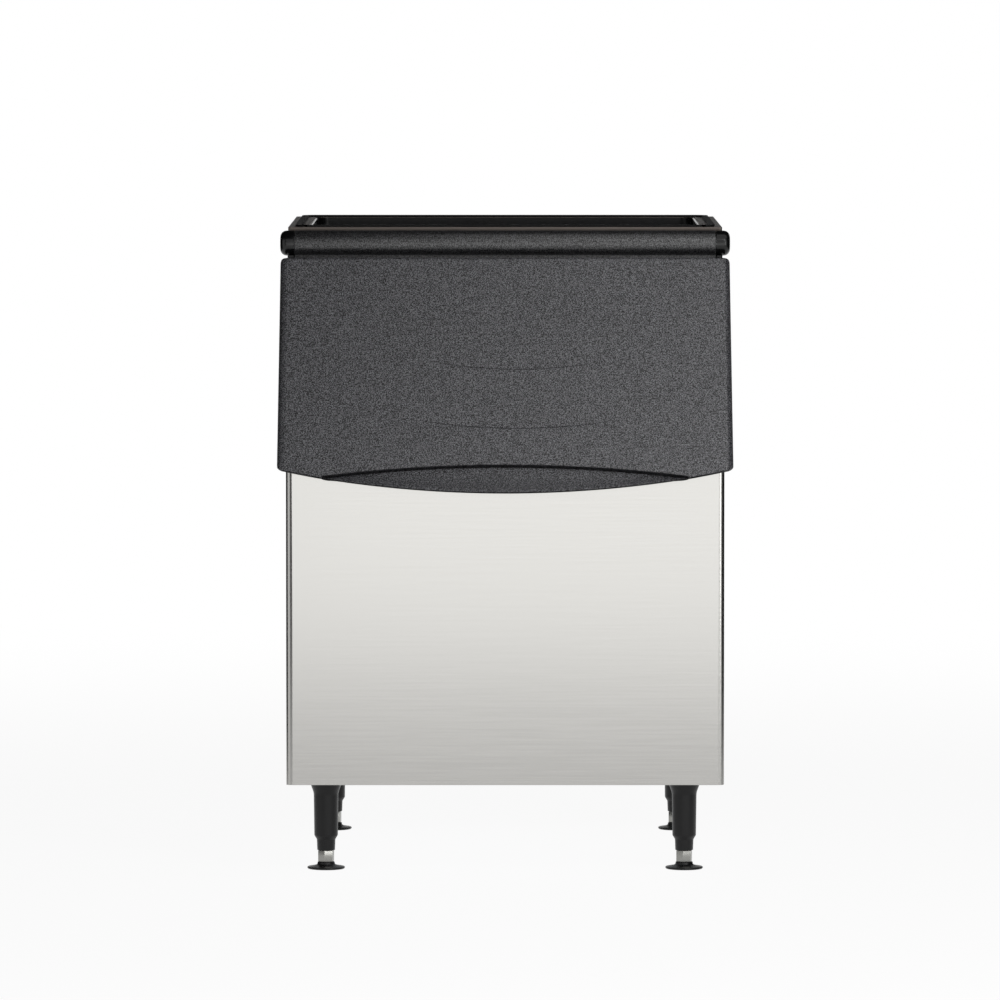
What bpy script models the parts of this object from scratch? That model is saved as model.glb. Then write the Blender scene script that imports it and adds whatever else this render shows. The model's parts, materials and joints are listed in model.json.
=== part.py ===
"""An ice storage bin: a foam-filled stainless cabinet on four levelling legs.

An ice machine stands on the top frame and drops its ice through the opening inside that frame.
The ice is scooped out through a slanted throat at the front, which a lift-up door closes.
The door hangs from a round barrel that turns on two pins, and its lower edge is a hollowed chin
that the hand pulls. X runs across the bin, Y towards its back and Z up, in metres. The origin is
on the floor, at the middle of the space that the whole bin takes up.
"""

import math

import bmesh
import bpy
from mathutils import Matrix, Vector

# Cabinet
CABINET_WIDTH = 0.762
CABINET_DEPTH = 0.776
CABINET_HEIGHT = 0.965
LEG_HEIGHT = 0.1524
CORNER_RADIUS = 0.0095
BACK_CORNER_RADIUS = 0.003

# Fits
SEAT_GAP = 0.0003
FOAM_GAP = 0.0013
RUNNING_GAP = 0.0001
OVERRUN = 0.050

# Sheet metal
SHEET = 0.0009
RETURN_FLANGE = 0.014
BACK_SHEET = 0.0008
PAN_SHEET = 0.0015

# Top frame and the openings' linings
RAIL_WIDTH = 0.036
RAIL_HEIGHT = 0.008
RAIL_SHEET = 0.0012
FRAME_CORNER_RADIUS = 0.004
GASKET_WIDTH = 0.012
GASKET_HEIGHT = 0.003
COLLAR_DEPTH = 0.060
COLLAR_FLANGE = 0.002
COLLAR_REVEAL = 0.0009
COLLAR_DROP = 0.001
TRIM = 0.003

# Storage space
LINER_WALL = 0.0035
FLOOR_FOAM = 0.040
FLOOR_FALL = 0.014
DRAIN_FLAT = 0.150
FLOOR_RADIUS = 0.035
SIDE_RADIUS = 0.025
SILL_WIDTH = 0.036
SILL_FALL = 0.007
LINTEL_WIDTH = 0.050

# Hinge line
AXIS_SETBACK = 0.165
AXIS_DROP = 0.0274
DOOR_SLOPE = math.radians(26.0)
BARREL_RADIUS = 0.022
BARREL_CLEARANCE = 0.003
THROAT_SETBACK = 0.012
LEDGE_DROP = 0.0322
CAP_WIDTH = 0.024
CAP_EDGE_RADIUS = 0.011
CAP_OVERHANG = 0.013
PIN_RADIUS = 0.005
PIN_IN_CAP = 0.016
BUSH_WALL = 0.0021
BUSH_LENGTH = 0.030
BUSH_FLANGE = 0.001
BUSH_FLANGE_RADIUS = 0.012
POST_WIDTH = 0.0107
FOOT_LENGTH = 0.046
FOOT_THICKNESS = 0.004
FOOT_SETBACK = 0.002
HINGE_SCREW_SPACING = 0.018
HINGE_SCREW_EDGE = 0.0085

# Door
DOOR_TOP_WIDTH = 0.786
DOOR_WIDTH = 0.791
DOOR_TOP = 0.035
DOOR_CORNER_DROP = 0.437
DOOR_CENTRE_DROP = 0.484
DOOR_STANDOFF = 0.020
DOOR_SKIN = 0.0035
DOOR_SIDE_RADIUS = 0.014
DOOR_TOP_RADIUS = 0.006
DOOR_UPPER_CORNER = 0.005
DOOR_LOWER_CORNER = 0.012
SKIRT_DEPTH = 0.024
SKIRT_CLEARANCE = 0.005
CHIN_ARC_DROP = 0.4285
CHIN_ARC_RISE = 0.0215
CHIN_ARC_HALF_WIDTH = 0.320
CHIN_STEP = 0.006
CHIN_STEP_RUN = 0.003
CHIN_FLARE = 0.008
CHIN_FADE = 0.012
CHIN_LEAST = 0.010
LIP_RADIUS = 0.006
TONGUE_REACH = 0.060
TONGUE_ABOVE = 0.006
TONGUE_BELOW = 0.0032
PANEL_SHEET = 0.003
PANEL_BACK = 0.0065
PLUG_DEPTH = 0.018
PLUG_DRAFT = 0.006
PLUG_SETBACK = 0.022
PLUG_RADIUS = 0.030
SEAL_WIDTH = 0.014
SEAL_RADIUS = 0.020
SEAL_CROWN = 0.0025

# Legs and levelling feet
LEG_INSET = 0.068
LEG_END_INSET = 0.062
FLARE_RADIUS = 0.0283
FLARE_HEIGHT = 0.022
SLEEVE_TOP_RADIUS = 0.02135
SLEEVE_BOTTOM_RADIUS = 0.0206
SLEEVE_CHAMFER = 0.007
NECK_RADIUS = 0.0155
NECK_HEIGHT = 0.019
STUD_RADIUS = 0.006
STUD_LENGTH = 0.012
NUT_PLATE_WIDTH = 0.060
NUT_PLATE = 0.004
NUT_POCKET_HEIGHT = 0.016
HEX_WIDTH = 0.0295
HEX_HEIGHT = 0.020
ROD_RADIUS = 0.008
ROD_LENGTH = 0.045
ROD_BORE_DEPTH = 0.056
PAD_HEIGHT = 0.012
PAD_RADIUS = 0.0329
PAD_EDGE = 0.004
PAD_HUB_RADIUS = 0.01475
PAD_CROWN = 0.0065
PAD_SHOULDER = 0.004
SPIGOT_RADIUS = 0.006
SPIGOT_LENGTH = 0.007

# Drain
DRAIN_SETBACK = 0.075
DRAIN_FLANGE_RADIUS = 0.024
DRAIN_FLANGE = 0.003
DRAIN_TUBE_RADIUS = 0.0133
DRAIN_BORE_RADIUS = 0.0095
DRAIN_OUTLET = 0.022
DRAIN_WASHER = 0.002
DRAIN_NUT_WIDTH = 0.040
DRAIN_NUT_HEIGHT = 0.008
STRAINER_RADIUS = 0.021
STRAINER = 0.003
STRAINER_SPIGOT = 0.006
STRAINER_HOLE_RADIUS = 0.0018
STRAINER_WALL = 0.0012
STRAINER_HOLES = 6
STRAINER_HOLE_CIRCLE = 0.0055

# Baffle
BAFFLE_SIDE_GAP = 0.0406
BAFFLE_SHEET = 0.002
BAFFLE_ABOVE_STUD = 0.018
BAFFLE_BELOW_STUD = 0.075
BAFFLE_SLANT = 0.200
BAFFLE_HEM = 0.014
BAFFLE_STUD_DROP = 0.0814
BAFFLE_STUD_INSET = 0.080
STUD_BASE_RADIUS = 0.010
STUD_SHANK_RADIUS = 0.004
STUD_HEAD_RADIUS = 0.008
STUD_DISC = 0.002
STUD_SHANK = 0.0035
KEYHOLE_LIFT = 0.016
KEYHOLE_CLEARANCE = 0.001

# Screws
SCREW_HEAD_RADIUS = 0.0045
SCREW_HEAD = 0.002
SCREW_RADIUS = 0.002
BACK_SCREW_LENGTH = 0.008
HINGE_SCREW_LENGTH = 0.014
BACK_SCREW_ROWS = 3

# Facets
ROUND_SIDES = 20
SMALL_SIDES = 12
HOLE_SIDES = 8
BARREL_SIDES = 32
CORNER_STEPS = 3
EDGE_STEPS = 4
DOOR_SPAN_STEPS = 18
FLARE_STEPS = 4
ROUND_PROFILE_SHARE = 0.5
WELD = 0.000001
FLAT_ANGLE = math.radians(0.05)
SHARP_ANGLE = math.radians(30.0)

# Levels and lines that several pieces share
side_x = CABINET_WIDTH / 2
cabinet_bottom = LEG_HEIGHT
cabinet_top = LEG_HEIGHT + CABINET_HEIGHT
wrap_top = cabinet_top - RAIL_HEIGHT - SEAT_GAP
pan_bottom = cabinet_bottom + SHEET + SEAT_GAP
pan_top = pan_bottom + PAN_SHEET
foam_bottom = pan_top + SEAT_GAP
floor_height = foam_bottom + FLOOR_FOAM + SEAT_GAP + LINER_WALL
collar_flange_top = wrap_top - SHEET - SEAT_GAP
foam_top = collar_flange_top - COLLAR_FLANGE - SEAT_GAP
collar_bottom = cabinet_top - COLLAR_DEPTH
wall_depth = RAIL_WIDTH + COLLAR_REVEAL + LINER_WALL
cavity_half = side_x - wall_depth
panel_front = PANEL_BACK - PANEL_SHEET

# The door is drawn lying flat: x across, y up the door from the hinge axis, z out of its face.
# It stands when turned about X by this angle.
DOOR_TURN = math.pi / 2 - DOOR_SLOPE
down_forward = math.sin(DOOR_SLOPE)
down_fall = math.cos(DOOR_SLOPE)


def door_drop_at(x):
    """How far down the door its curved bottom edge lies."""
    return DOOR_CENTRE_DROP - (DOOR_CENTRE_DROP - DOOR_CORNER_DROP) * (x / (DOOR_WIDTH / 2)) ** 2


def chin_drop_at(x):
    """How far down the door the arc above the chin lies."""
    return CHIN_ARC_DROP + CHIN_ARC_RISE * (x / CHIN_ARC_HALF_WIDTH) ** 2


# The lip of the chin reaches further forward than anything else.
lip_y = DOOR_CENTRE_DROP - LIP_RADIUS * (1 - math.sin(DOOR_SLOPE))
lip_z = DOOR_STANDOFF + CHIN_FLARE - LIP_RADIUS * (1 - math.cos(DOOR_SLOPE))
lip_reach = lip_z * down_fall + lip_y * down_forward - AXIS_SETBACK
front_y = (lip_reach - CABINET_DEPTH - SCREW_HEAD - SEAT_GAP) / 2
back_y = front_y + CABINET_DEPTH
wrap_back = back_y - BACK_SHEET - SEAT_GAP
axis_y = front_y + AXIS_SETBACK
axis_z = cabinet_top - AXIS_DROP
deck_y = axis_y + BARREL_RADIUS + BARREL_CLEARANCE
ledge_z = axis_z - LEDGE_DROP
beam_back = deck_y + wall_depth
cavity_front = front_y + wall_depth
cavity_back = back_y - wall_depth
cap_outer = side_x + CAP_OVERHANG
cap_inner = cap_outer - CAP_WIDTH
barrel_half = cap_inner - SEAT_GAP - BUSH_FLANGE - SEAT_GAP
bush_bore = PIN_RADIUS + RUNNING_GAP
bush_radius = bush_bore + BUSH_WALL
baffle_half = cavity_half - BAFFLE_SIDE_GAP
baffle_stud_x = baffle_half - BAFFLE_STUD_INSET
baffle_stud_z = cabinet_top - BAFFLE_STUD_DROP
drain_y = cavity_back - DRAIN_SETBACK


def slope_y_at(z, out):
    """Y of the line that runs along the door's slope, this far out from the hinge axis."""
    drop = (axis_z + out * down_forward - z) / down_fall
    return axis_y - out * down_fall - drop * down_forward


def slope_z_at(y, out):
    """Z of the same line at a given Y."""
    drop = (axis_y - out * down_fall - y) / down_forward
    return axis_z + out * down_forward - drop * down_fall


def slope_point(drop, out):
    """(y, z) of a point this far down the door and this far out from the hinge axis."""
    y = axis_y - out * down_fall - drop * down_forward
    z = axis_z + out * down_forward - drop * down_fall
    return y, z


sill_drop = (AXIS_SETBACK + THROAT_SETBACK * down_fall) / down_forward - SILL_WIDTH
ledge_front_drop = (LEDGE_DROP - THROAT_SETBACK * down_forward) / down_fall
lintel_drop = ledge_front_drop + LINTEL_WIDTH
lintel_z = slope_point(lintel_drop, -THROAT_SETBACK)[1]


# Making, cutting and finishing shapes


def clear_scene():
    for old in list(bpy.data.objects):
        bpy.data.objects.remove(old, do_unlink=True)


def make_material(name, colour, roughness, metallic):
    """A plain finish: colour as red, green and blue from 0 to 1."""
    finish = bpy.data.materials.new(name)
    finish.use_nodes = True
    shader = finish.node_tree.nodes["Principled BSDF"]
    shader.inputs["Base Color"].default_value = (*colour, 1.0)
    shader.inputs["Roughness"].default_value = roughness
    shader.inputs["Metallic"].default_value = metallic
    return finish


def make_pivot(name, location, turn=0.0):
    """An empty that carries pieces and lies on their joint's axis."""
    pivot = bpy.data.objects.new(name, None)
    pivot.location = location
    pivot.rotation_euler.x = turn
    bpy.context.scene.collection.objects.link(pivot)
    return pivot


def as_object(name, bm):
    """Turns a bmesh into an object with outward faces."""
    bmesh.ops.recalc_face_normals(bm, faces=bm.faces)
    mesh = bpy.data.meshes.new(name)
    bm.to_mesh(mesh)
    bm.free()
    piece = bpy.data.objects.new(name, mesh)
    bpy.context.scene.collection.objects.link(piece)
    return piece


def combine(piece, tool_shape, operation):
    """Cuts a piece with a tool shape, joins them or keeps what they share."""
    tool = as_object("tool", tool_shape)
    tool.hide_render = True
    tool.display_type = "WIRE"
    change = piece.modifiers.new("shape", "BOOLEAN")
    change.operation = operation
    change.solver = "EXACT"
    change.object = tool
    bpy.context.view_layer.update()
    depsgraph = bpy.context.evaluated_depsgraph_get()
    shaped = bpy.data.meshes.new_from_object(piece.evaluated_get(depsgraph))
    piece.modifiers.clear()
    before = piece.data
    piece.data = shaped
    bpy.data.meshes.remove(before)
    bpy.data.objects.remove(tool, do_unlink=True)


def cut(piece, tool_shape):
    combine(piece, tool_shape, "DIFFERENCE")


def join(piece, tool_shape):
    combine(piece, tool_shape, "UNION")


def keep(piece, tool_shape):
    combine(piece, tool_shape, "INTERSECT")


def finish_piece(piece, finish, parent=None, location=None):
    """Welds and flattens the mesh, shades it, gives it its finish and sets it in place."""
    bm = bmesh.new()
    bm.from_mesh(piece.data)
    bmesh.ops.remove_doubles(bm, verts=bm.verts, dist=WELD)
    bmesh.ops.dissolve_limit(bm, angle_limit=FLAT_ANGLE, verts=bm.verts, edges=bm.edges)
    bmesh.ops.triangulate(bm, faces=bm.faces)
    bm.to_mesh(piece.data)
    bm.free()
    piece.data.shade_smooth()
    piece.data.set_sharp_from_angle(angle=SHARP_ANGLE)
    piece.data.materials.clear()
    piece.data.materials.append(finish)
    if parent:
        piece.parent = parent
    if location:
        piece.location = location
    return piece


def copy_piece(name, source, parent=None, location=None):
    """A second piece that shares the first one's mesh."""
    piece = bpy.data.objects.new(name, source.data)
    bpy.context.scene.collection.objects.link(piece)
    if parent:
        piece.parent = parent
    if location:
        piece.location = location
    return piece


# Outlines


def rounded_outline(corners, radii, steps=CORNER_STEPS):
    """An outline whose corners are rounded, each by its own radius."""
    outline = []
    count = len(corners)
    for index, radius in enumerate(radii):
        corner = Vector(corners[index])
        if radius <= WELD:
            outline.append(tuple(corner))
            continue
        before = (Vector(corners[index - 1]) - corner).normalized()
        after = (Vector(corners[(index + 1) % count]) - corner).normalized()
        half = before.angle(after) / 2
        centre = corner + (before + after).normalized() * (radius / math.sin(half))
        start = corner + before * (radius / math.tan(half)) - centre
        end = corner + after * (radius / math.tan(half)) - centre
        sweep = start.angle(end)
        for step in range(steps + 1):
            share = step / steps
            near = math.sin((1 - share) * sweep) / math.sin(sweep)
            far = math.sin(share * sweep) / math.sin(sweep)
            outline.append(tuple(centre + start * near + end * far))
    return outline


def rectangle(x_low, x_high, y_low, y_high, front_radius=0.0, back_radius=0.0):
    """A rectangle with its own corner radius at the low and the high end of y."""
    corners = [(x_low, y_low), (x_high, y_low), (x_high, y_high), (x_low, y_high)]
    radii = [front_radius, front_radius, back_radius, back_radius]
    return rounded_outline(corners, radii)


def plan_outline(inset):
    """The cabinet's plan, drawn in by this much."""
    front = max(CORNER_RADIUS - inset, WELD)
    back = max(BACK_CORNER_RADIUS - inset, WELD)
    half = side_x - inset
    return rectangle(-half, half, front_y + inset, wrap_back - inset, front, back)


def deck_outline(inset, back, radius):
    """The plan of the top deck, drawn in by this much from its front, sides and back."""
    half = side_x - inset
    return rectangle(-half, half, deck_y + inset, back - inset, radius, radius)


def cavity_outline(grow):
    """Side view, as (y, z), of the storage space, grown by this much into the walls."""
    outside = THROAT_SETBACK + OVERRUN
    sill_y, sill_z = slope_point(sill_drop, -THROAT_SETBACK)
    front = cavity_front - grow
    back = cavity_back + grow
    floor = floor_height - grow
    sill_run = cavity_front - sill_y
    out_run = math.hypot(sill_run, SILL_FALL)
    rise = grow * sill_run / out_run
    lead = OVERRUN / out_run
    corners = [
        (front, floor + FLOOR_FALL),
        (back - DRAIN_FLAT, floor),
        (back, floor),
        (back, cabinet_top + OVERRUN),
        (beam_back - grow, cabinet_top + OVERRUN),
        (beam_back - grow, lintel_z + grow),
        (slope_y_at(lintel_z + grow, outside), lintel_z + grow),
        (sill_y - sill_run * lead, sill_z + SILL_FALL * lead - rise),
        (front, sill_z - SILL_FALL - rise),
    ]
    radius = FLOOR_RADIUS + grow
    return rounded_outline(corners, [radius, 0, radius, 0, 0, 0, 0, 0, 0])


def notch_outline(behind):
    """Side view of the space in front of the throat, the ledge and the deck."""
    ahead = front_y - OVERRUN
    above = cabinet_top + OVERRUN
    out = -THROAT_SETBACK - behind
    ledge = ledge_z - behind
    return [
        (ahead, slope_z_at(ahead, out)),
        (slope_y_at(ledge, out), ledge),
        (deck_y + behind, ledge),
        (deck_y + behind, above),
        (ahead, above),
    ]


# Solids


def pull(bm, face, offset):
    """Extrudes one face into a closed solid."""
    grown = bmesh.ops.extrude_face_region(bm, geom=[face])["geom"]
    verts = [item for item in grown if isinstance(item, bmesh.types.BMVert)]
    bmesh.ops.translate(bm, verts=verts, vec=offset)


def across(outline, half_width, side_radius=0.0):
    """A solid with this side view, as (y, z), from one side to the other."""
    bm = bmesh.new()
    verts = [bm.verts.new((-half_width, y, z)) for y, z in outline]
    pull(bm, bm.faces.new(verts), (2 * half_width, 0, 0))
    bmesh.ops.recalc_face_normals(bm, faces=bm.faces)
    if side_radius:
        caps = [face for face in bm.faces if abs(face.normal.x) > math.cos(FLAT_ANGLE)]
        rim = [edge for face in caps for edge in face.edges]
        bmesh.ops.bevel(
            bm, geom=rim, offset=side_radius, offset_type="OFFSET", segments=CORNER_STEPS,
            profile=ROUND_PROFILE_SHARE, affect="EDGES", clamp_overlap=False, material=-1,
        )
    return bm


def upright(outline, low, high):
    """A solid with this plan, as (x, y), from one height to another."""
    bm = bmesh.new()
    verts = [bm.verts.new((x, y, low)) for x, y in outline]
    pull(bm, bm.faces.new(verts), (0, 0, high - low))
    return bm


def block(x_low, x_high, y_low, y_high, z_low, z_high):
    return upright(rectangle(x_low, x_high, y_low, y_high), z_low, z_high)


def ring(outer, inner, low, high):
    """A closed frame between two plans with as many points each."""
    bm = bmesh.new()
    edges = []
    for outline in (outer, inner):
        verts = [bm.verts.new((x, y, low)) for x, y in outline]
        edges += [bm.edges.new(pair) for pair in zip(verts, verts[1:] + verts[:1])]
    bmesh.ops.bridge_loops(bm, edges=edges)
    grown = bmesh.ops.extrude_face_region(bm, geom=list(bm.faces))["geom"]
    verts = [item for item in grown if isinstance(item, bmesh.types.BMVert)]
    bmesh.ops.translate(bm, verts=verts, vec=(0, 0, high - low))
    return bm


def turned(profile, sides, closed=False):
    """A round solid about Z. A closed profile makes a ring; an open one starts and ends on Z."""
    bm = bmesh.new()
    verts = [bm.verts.new((radius, 0, z)) for radius, z in profile]
    pairs = list(zip(verts, verts[1:]))
    if closed:
        pairs.append((verts[-1], verts[0]))
    edges = [bm.edges.new(pair) for pair in pairs]
    bmesh.ops.spin(
        bm, geom=verts + edges, cent=(0, 0, 0), axis=(0, 0, 1), angle=2 * math.pi,
        steps=sides, use_merge=True,
    )
    bmesh.ops.remove_doubles(bm, verts=bm.verts, dist=WELD)
    bmesh.ops.recalc_face_normals(bm, faces=bm.faces)
    return bm


def rod(radius, low, high, sides=SMALL_SIDES):
    """A plain round bar along Z."""
    return turned([(0, low), (radius, low), (radius, high), (0, high)], sides)


def placed(bm, location=(0, 0, 0), turn=0.0, axis="X"):
    """Moves a shape after turning it about an axis."""
    matrix = Matrix.Translation(location) @ Matrix.Rotation(turn, 4, axis)
    bmesh.ops.transform(bm, matrix=matrix, verts=bm.verts)
    return bm


def gathered(shapes):
    """Puts several separate shapes into one bmesh."""
    whole = bmesh.new()
    for shape in shapes:
        mesh = bpy.data.meshes.new("shape")
        shape.to_mesh(mesh)
        shape.free()
        whole.from_mesh(mesh)
        bpy.data.meshes.remove(mesh)
    return whole


def mirrored(bm):
    """The same shape on the other side of the bin."""
    bmesh.ops.scale(bm, vec=(-1, 1, 1), verts=bm.verts)
    bmesh.ops.reverse_faces(bm, faces=bm.faces)
    return bm


def facing(angle):
    """Turns a shape drawn along Z so that it points along X, to the right or the left."""
    return Matrix.Rotation(angle, 4, "Y")


# Finishes

clear_scene()
stainless = make_material("brushed_stainless", (0.68, 0.67, 0.66), 0.32, 1.0)
frame_steel = make_material("satin_stainless", (0.45, 0.43, 0.42), 0.38, 1.0)
galvanised = make_material("galvanised_steel", (0.52, 0.54, 0.55), 0.45, 1.0)
zinc = make_material("zinc_plated_steel", (0.60, 0.60, 0.58), 0.30, 1.0)
textured = make_material("textured_grey_plastic", (0.085, 0.085, 0.090), 0.50, 0.0)
black_plastic = make_material("black_plastic", (0.018, 0.018, 0.020), 0.35, 0.0)
leg_plastic = make_material("black_nylon", (0.028, 0.028, 0.031), 0.40, 0.0)
white_plastic = make_material("white_polyethylene", (0.80, 0.82, 0.83), 0.45, 0.0)
foam_finish = make_material("polyurethane_foam", (0.82, 0.72, 0.45), 0.90, 0.0)
rubber = make_material("black_rubber", (0.020, 0.020, 0.021), 0.75, 0.0)


# Places that pieces share

back_screw_places = []
for side in (-1, 1):
    for row in range(BACK_SCREW_ROWS):
        low = cabinet_bottom + RETURN_FLANGE
        high = wrap_top - RETURN_FLANGE
        height = low + (high - low) * row / (BACK_SCREW_ROWS - 1)
        back_screw_places.append((side * (side_x - RETURN_FLANGE / 2), height))

hinge_screw_y = axis_y + (FOOT_SETBACK + BARREL_RADIUS + BARREL_CLEARANCE) / 2
hinge_screw_places = []
for side in (-1, 1):
    for place in range(2):
        x = side_x - FOOT_LENGTH + HINGE_SCREW_EDGE + place * HINGE_SCREW_SPACING
        hinge_screw_places.append((side * x, hinge_screw_y))

leg_places = []
for end in ("front", "back"):
    for side in ("left", "right"):
        x = (side_x - LEG_INSET) * (-1 if side == "left" else 1)
        y = front_y + LEG_END_INSET if end == "front" else back_y - LEG_END_INSET
        leg_places.append((f"{end}_{side}", x, y))

baffle_stud_places = [("left", -baffle_stud_x), ("right", baffle_stud_x)]


def back_screw_holes():
    """Clearance holes for the screws that hold the back panel."""
    shapes = []
    for x, z in back_screw_places:
        hole = rod(SCREW_RADIUS + SEAT_GAP, -BACK_SCREW_LENGTH - SEAT_GAP, OVERRUN)
        shapes.append(placed(hole, (x, back_y, z), -math.pi / 2))
    return gathered(shapes)


def hinge_screw_holes():
    """Clearance holes for the screws that hold the hinge caps down."""
    shapes = []
    for x, y in hinge_screw_places:
        foot_top = ledge_z + SEAT_GAP + FOOT_THICKNESS
        low = foot_top - HINGE_SCREW_LENGTH - SEAT_GAP
        hole = rod(SCREW_RADIUS + SEAT_GAP, low, ledge_z + BARREL_RADIUS)
        shapes.append(placed(hole, (x, y, 0)))
    return gathered(shapes)


# Cabinet pieces


def build_outer_wrap():
    """One folded sheet: front and sides, with return flanges at the back, top and bottom."""
    wrap = as_object("outer_wrap", upright(plan_outline(0), cabinet_bottom, wrap_top))
    low = cabinet_bottom + RETURN_FLANGE
    high = wrap_top - RETURN_FLANGE
    half = side_x - RETURN_FLANGE
    cut(wrap, upright(plan_outline(SHEET), cabinet_bottom + SHEET, wrap_top - SHEET))
    cut(wrap, upright(plan_outline(RETURN_FLANGE), cabinet_bottom - OVERRUN, wrap_top + OVERRUN))
    cut(wrap, block(-half, half, wrap_back - RETURN_FLANGE, back_y + OVERRUN, low, high))
    cut(wrap, across(notch_outline(TRIM + SEAT_GAP), side_x + OVERRUN))
    cut(wrap, back_screw_holes())
    return finish_piece(wrap, stainless)


def build_back_panel():
    """A flat sheet, screwed to the wrap's back flanges."""
    outline = rectangle(-side_x, side_x, cabinet_bottom, wrap_top)
    shape = placed(upright(outline, 0, BACK_SHEET), (0, back_y, 0), math.pi / 2)
    panel = as_object("back_panel", shape)
    cut(panel, back_screw_holes())
    return finish_piece(panel, galvanised)


def build_base_pan():
    """The bottom sheet, on the wrap's bottom flange, with holes for the legs and the drain."""
    pan = as_object("base_pan", upright(plan_outline(SHEET + SEAT_GAP), pan_bottom, pan_top))
    holes = [rod(DRAIN_TUBE_RADIUS + SEAT_GAP, pan_bottom - OVERRUN, pan_top + OVERRUN, ROUND_SIDES)]
    bmesh.ops.translate(holes[0], verts=holes[0].verts, vec=(0, drain_y, 0))
    for _, x, y in leg_places:
        hole = rod(STUD_RADIUS + SEAT_GAP, pan_bottom - OVERRUN, pan_top + OVERRUN)
        holes.append(placed(hole, (x, y, 0)))
    cut(pan, gathered(holes))
    return finish_piece(pan, galvanised)


def build_insulation():
    """Foam that fills the walls between the sheets and the liner."""
    outline = plan_outline(SHEET + SEAT_GAP)
    foam = as_object("insulation", upright(outline, foam_bottom, foam_top))
    grow = LINER_WALL + SEAT_GAP
    cut(foam, across(notch_outline(TRIM + SEAT_GAP), side_x + OVERRUN))
    cut(foam, across(cavity_outline(grow), cavity_half + grow, SIDE_RADIUS + grow))
    inner_flange = wrap_back - SHEET - SEAT_GAP
    cut(foam, block(-side_x, side_x, inner_flange, back_y, foam_bottom - OVERRUN, cabinet_top))
    pockets = []
    reach = NUT_PLATE_WIDTH / 2 + SEAT_GAP
    for _, x, y in leg_places:
        top = foam_bottom + NUT_POCKET_HEIGHT
        pockets.append(block(x - reach, x + reach, y - reach, y + reach, pan_bottom, top))
    tube = rod(DRAIN_TUBE_RADIUS + SEAT_GAP, pan_bottom, floor_height + OVERRUN, ROUND_SIDES)
    pockets.append(placed(tube, (0, drain_y, 0)))
    cut(foam, gathered(pockets))
    cut(foam, back_screw_holes())
    cut(foam, hinge_screw_holes())
    return finish_piece(foam, foam_finish)


def build_liner():
    """The moulded tub that the ice lies in, open to the deck and to the throat."""
    outer = across(cavity_outline(LINER_WALL), cavity_half + LINER_WALL, SIDE_RADIUS + LINER_WALL)
    liner = as_object("liner", outer)
    cut(liner, across(cavity_outline(0), cavity_half, SIDE_RADIUS))
    cut(liner, across(notch_outline(TRIM + SEAT_GAP), side_x + OVERRUN))
    low = collar_bottom - SEAT_GAP
    deep = cabinet_top + OVERRUN * 2
    cut(liner, block(-side_x, side_x, axis_y, back_y + OVERRUN, low, deep))
    holes = []
    for _, x in baffle_stud_places:
        hole = rod(STUD_SHANK_RADIUS + SEAT_GAP, -OVERRUN / 2, OVERRUN / 2)
        holes.append(placed(hole, (x, beam_back, baffle_stud_z), -math.pi / 2))
    low = floor_height - OVERRUN / 2
    drain = rod(DRAIN_TUBE_RADIUS + SEAT_GAP, low, low + OVERRUN, ROUND_SIDES)
    holes.append(placed(drain, (0, drain_y, 0)))
    cut(liner, gathered(holes))
    return finish_piece(liner, white_plastic)


def build_top_frame():
    """A folded channel round the deck, which carries the ice machine."""
    outer = deck_outline(0, back_y, FRAME_CORNER_RADIUS)
    inner = deck_outline(RAIL_WIDTH, back_y, SIDE_RADIUS)
    frame = as_object("top_frame", ring(outer, inner, cabinet_top - RAIL_HEIGHT, cabinet_top))
    groove_outer = deck_outline(RAIL_SHEET, back_y, FRAME_CORNER_RADIUS - RAIL_SHEET)
    groove_inner = deck_outline(RAIL_WIDTH - RAIL_SHEET, back_y, SIDE_RADIUS + RAIL_SHEET)
    low = cabinet_top - RAIL_HEIGHT - OVERRUN
    cut(frame, ring(groove_outer, groove_inner, low, cabinet_top - RAIL_SHEET))
    return finish_piece(frame, frame_steel)


def build_machine_gasket():
    """A foam strip along the middle of the frame, which seals the machine to the bin."""
    margin = (RAIL_WIDTH - GASKET_WIDTH) / 2
    outer = deck_outline(margin, back_y, SIDE_RADIUS)
    inner = deck_outline(margin + GASKET_WIDTH, back_y, SIDE_RADIUS - GASKET_WIDTH)
    low = cabinet_top + SEAT_GAP
    gasket = as_object("machine_gasket", ring(outer, inner, low, low + GASKET_HEIGHT))
    return finish_piece(gasket, rubber)


def build_top_collar():
    """A lining of the top opening, with a flange tucked under the wrap."""
    inner = deck_outline(wall_depth, back_y, SIDE_RADIUS)
    outer = deck_outline(wall_depth - LINER_WALL, back_y, SIDE_RADIUS + LINER_WALL)
    collar_top = cabinet_top - COLLAR_DROP
    collar = as_object("top_collar", upright(outer, collar_bottom, collar_top))
    half = side_x - SHEET - SEAT_GAP
    flange = rectangle(
        -half, half, deck_y + TRIM + SEAT_GAP, wrap_back - SHEET - SEAT_GAP,
        FRAME_CORNER_RADIUS, FRAME_CORNER_RADIUS,
    )
    join(collar, upright(flange, collar_flange_top - COLLAR_FLANGE, collar_flange_top))
    cut(collar, upright(inner, collar_bottom - OVERRUN, cabinet_top + OVERRUN))
    return finish_piece(collar, black_plastic)


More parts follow.
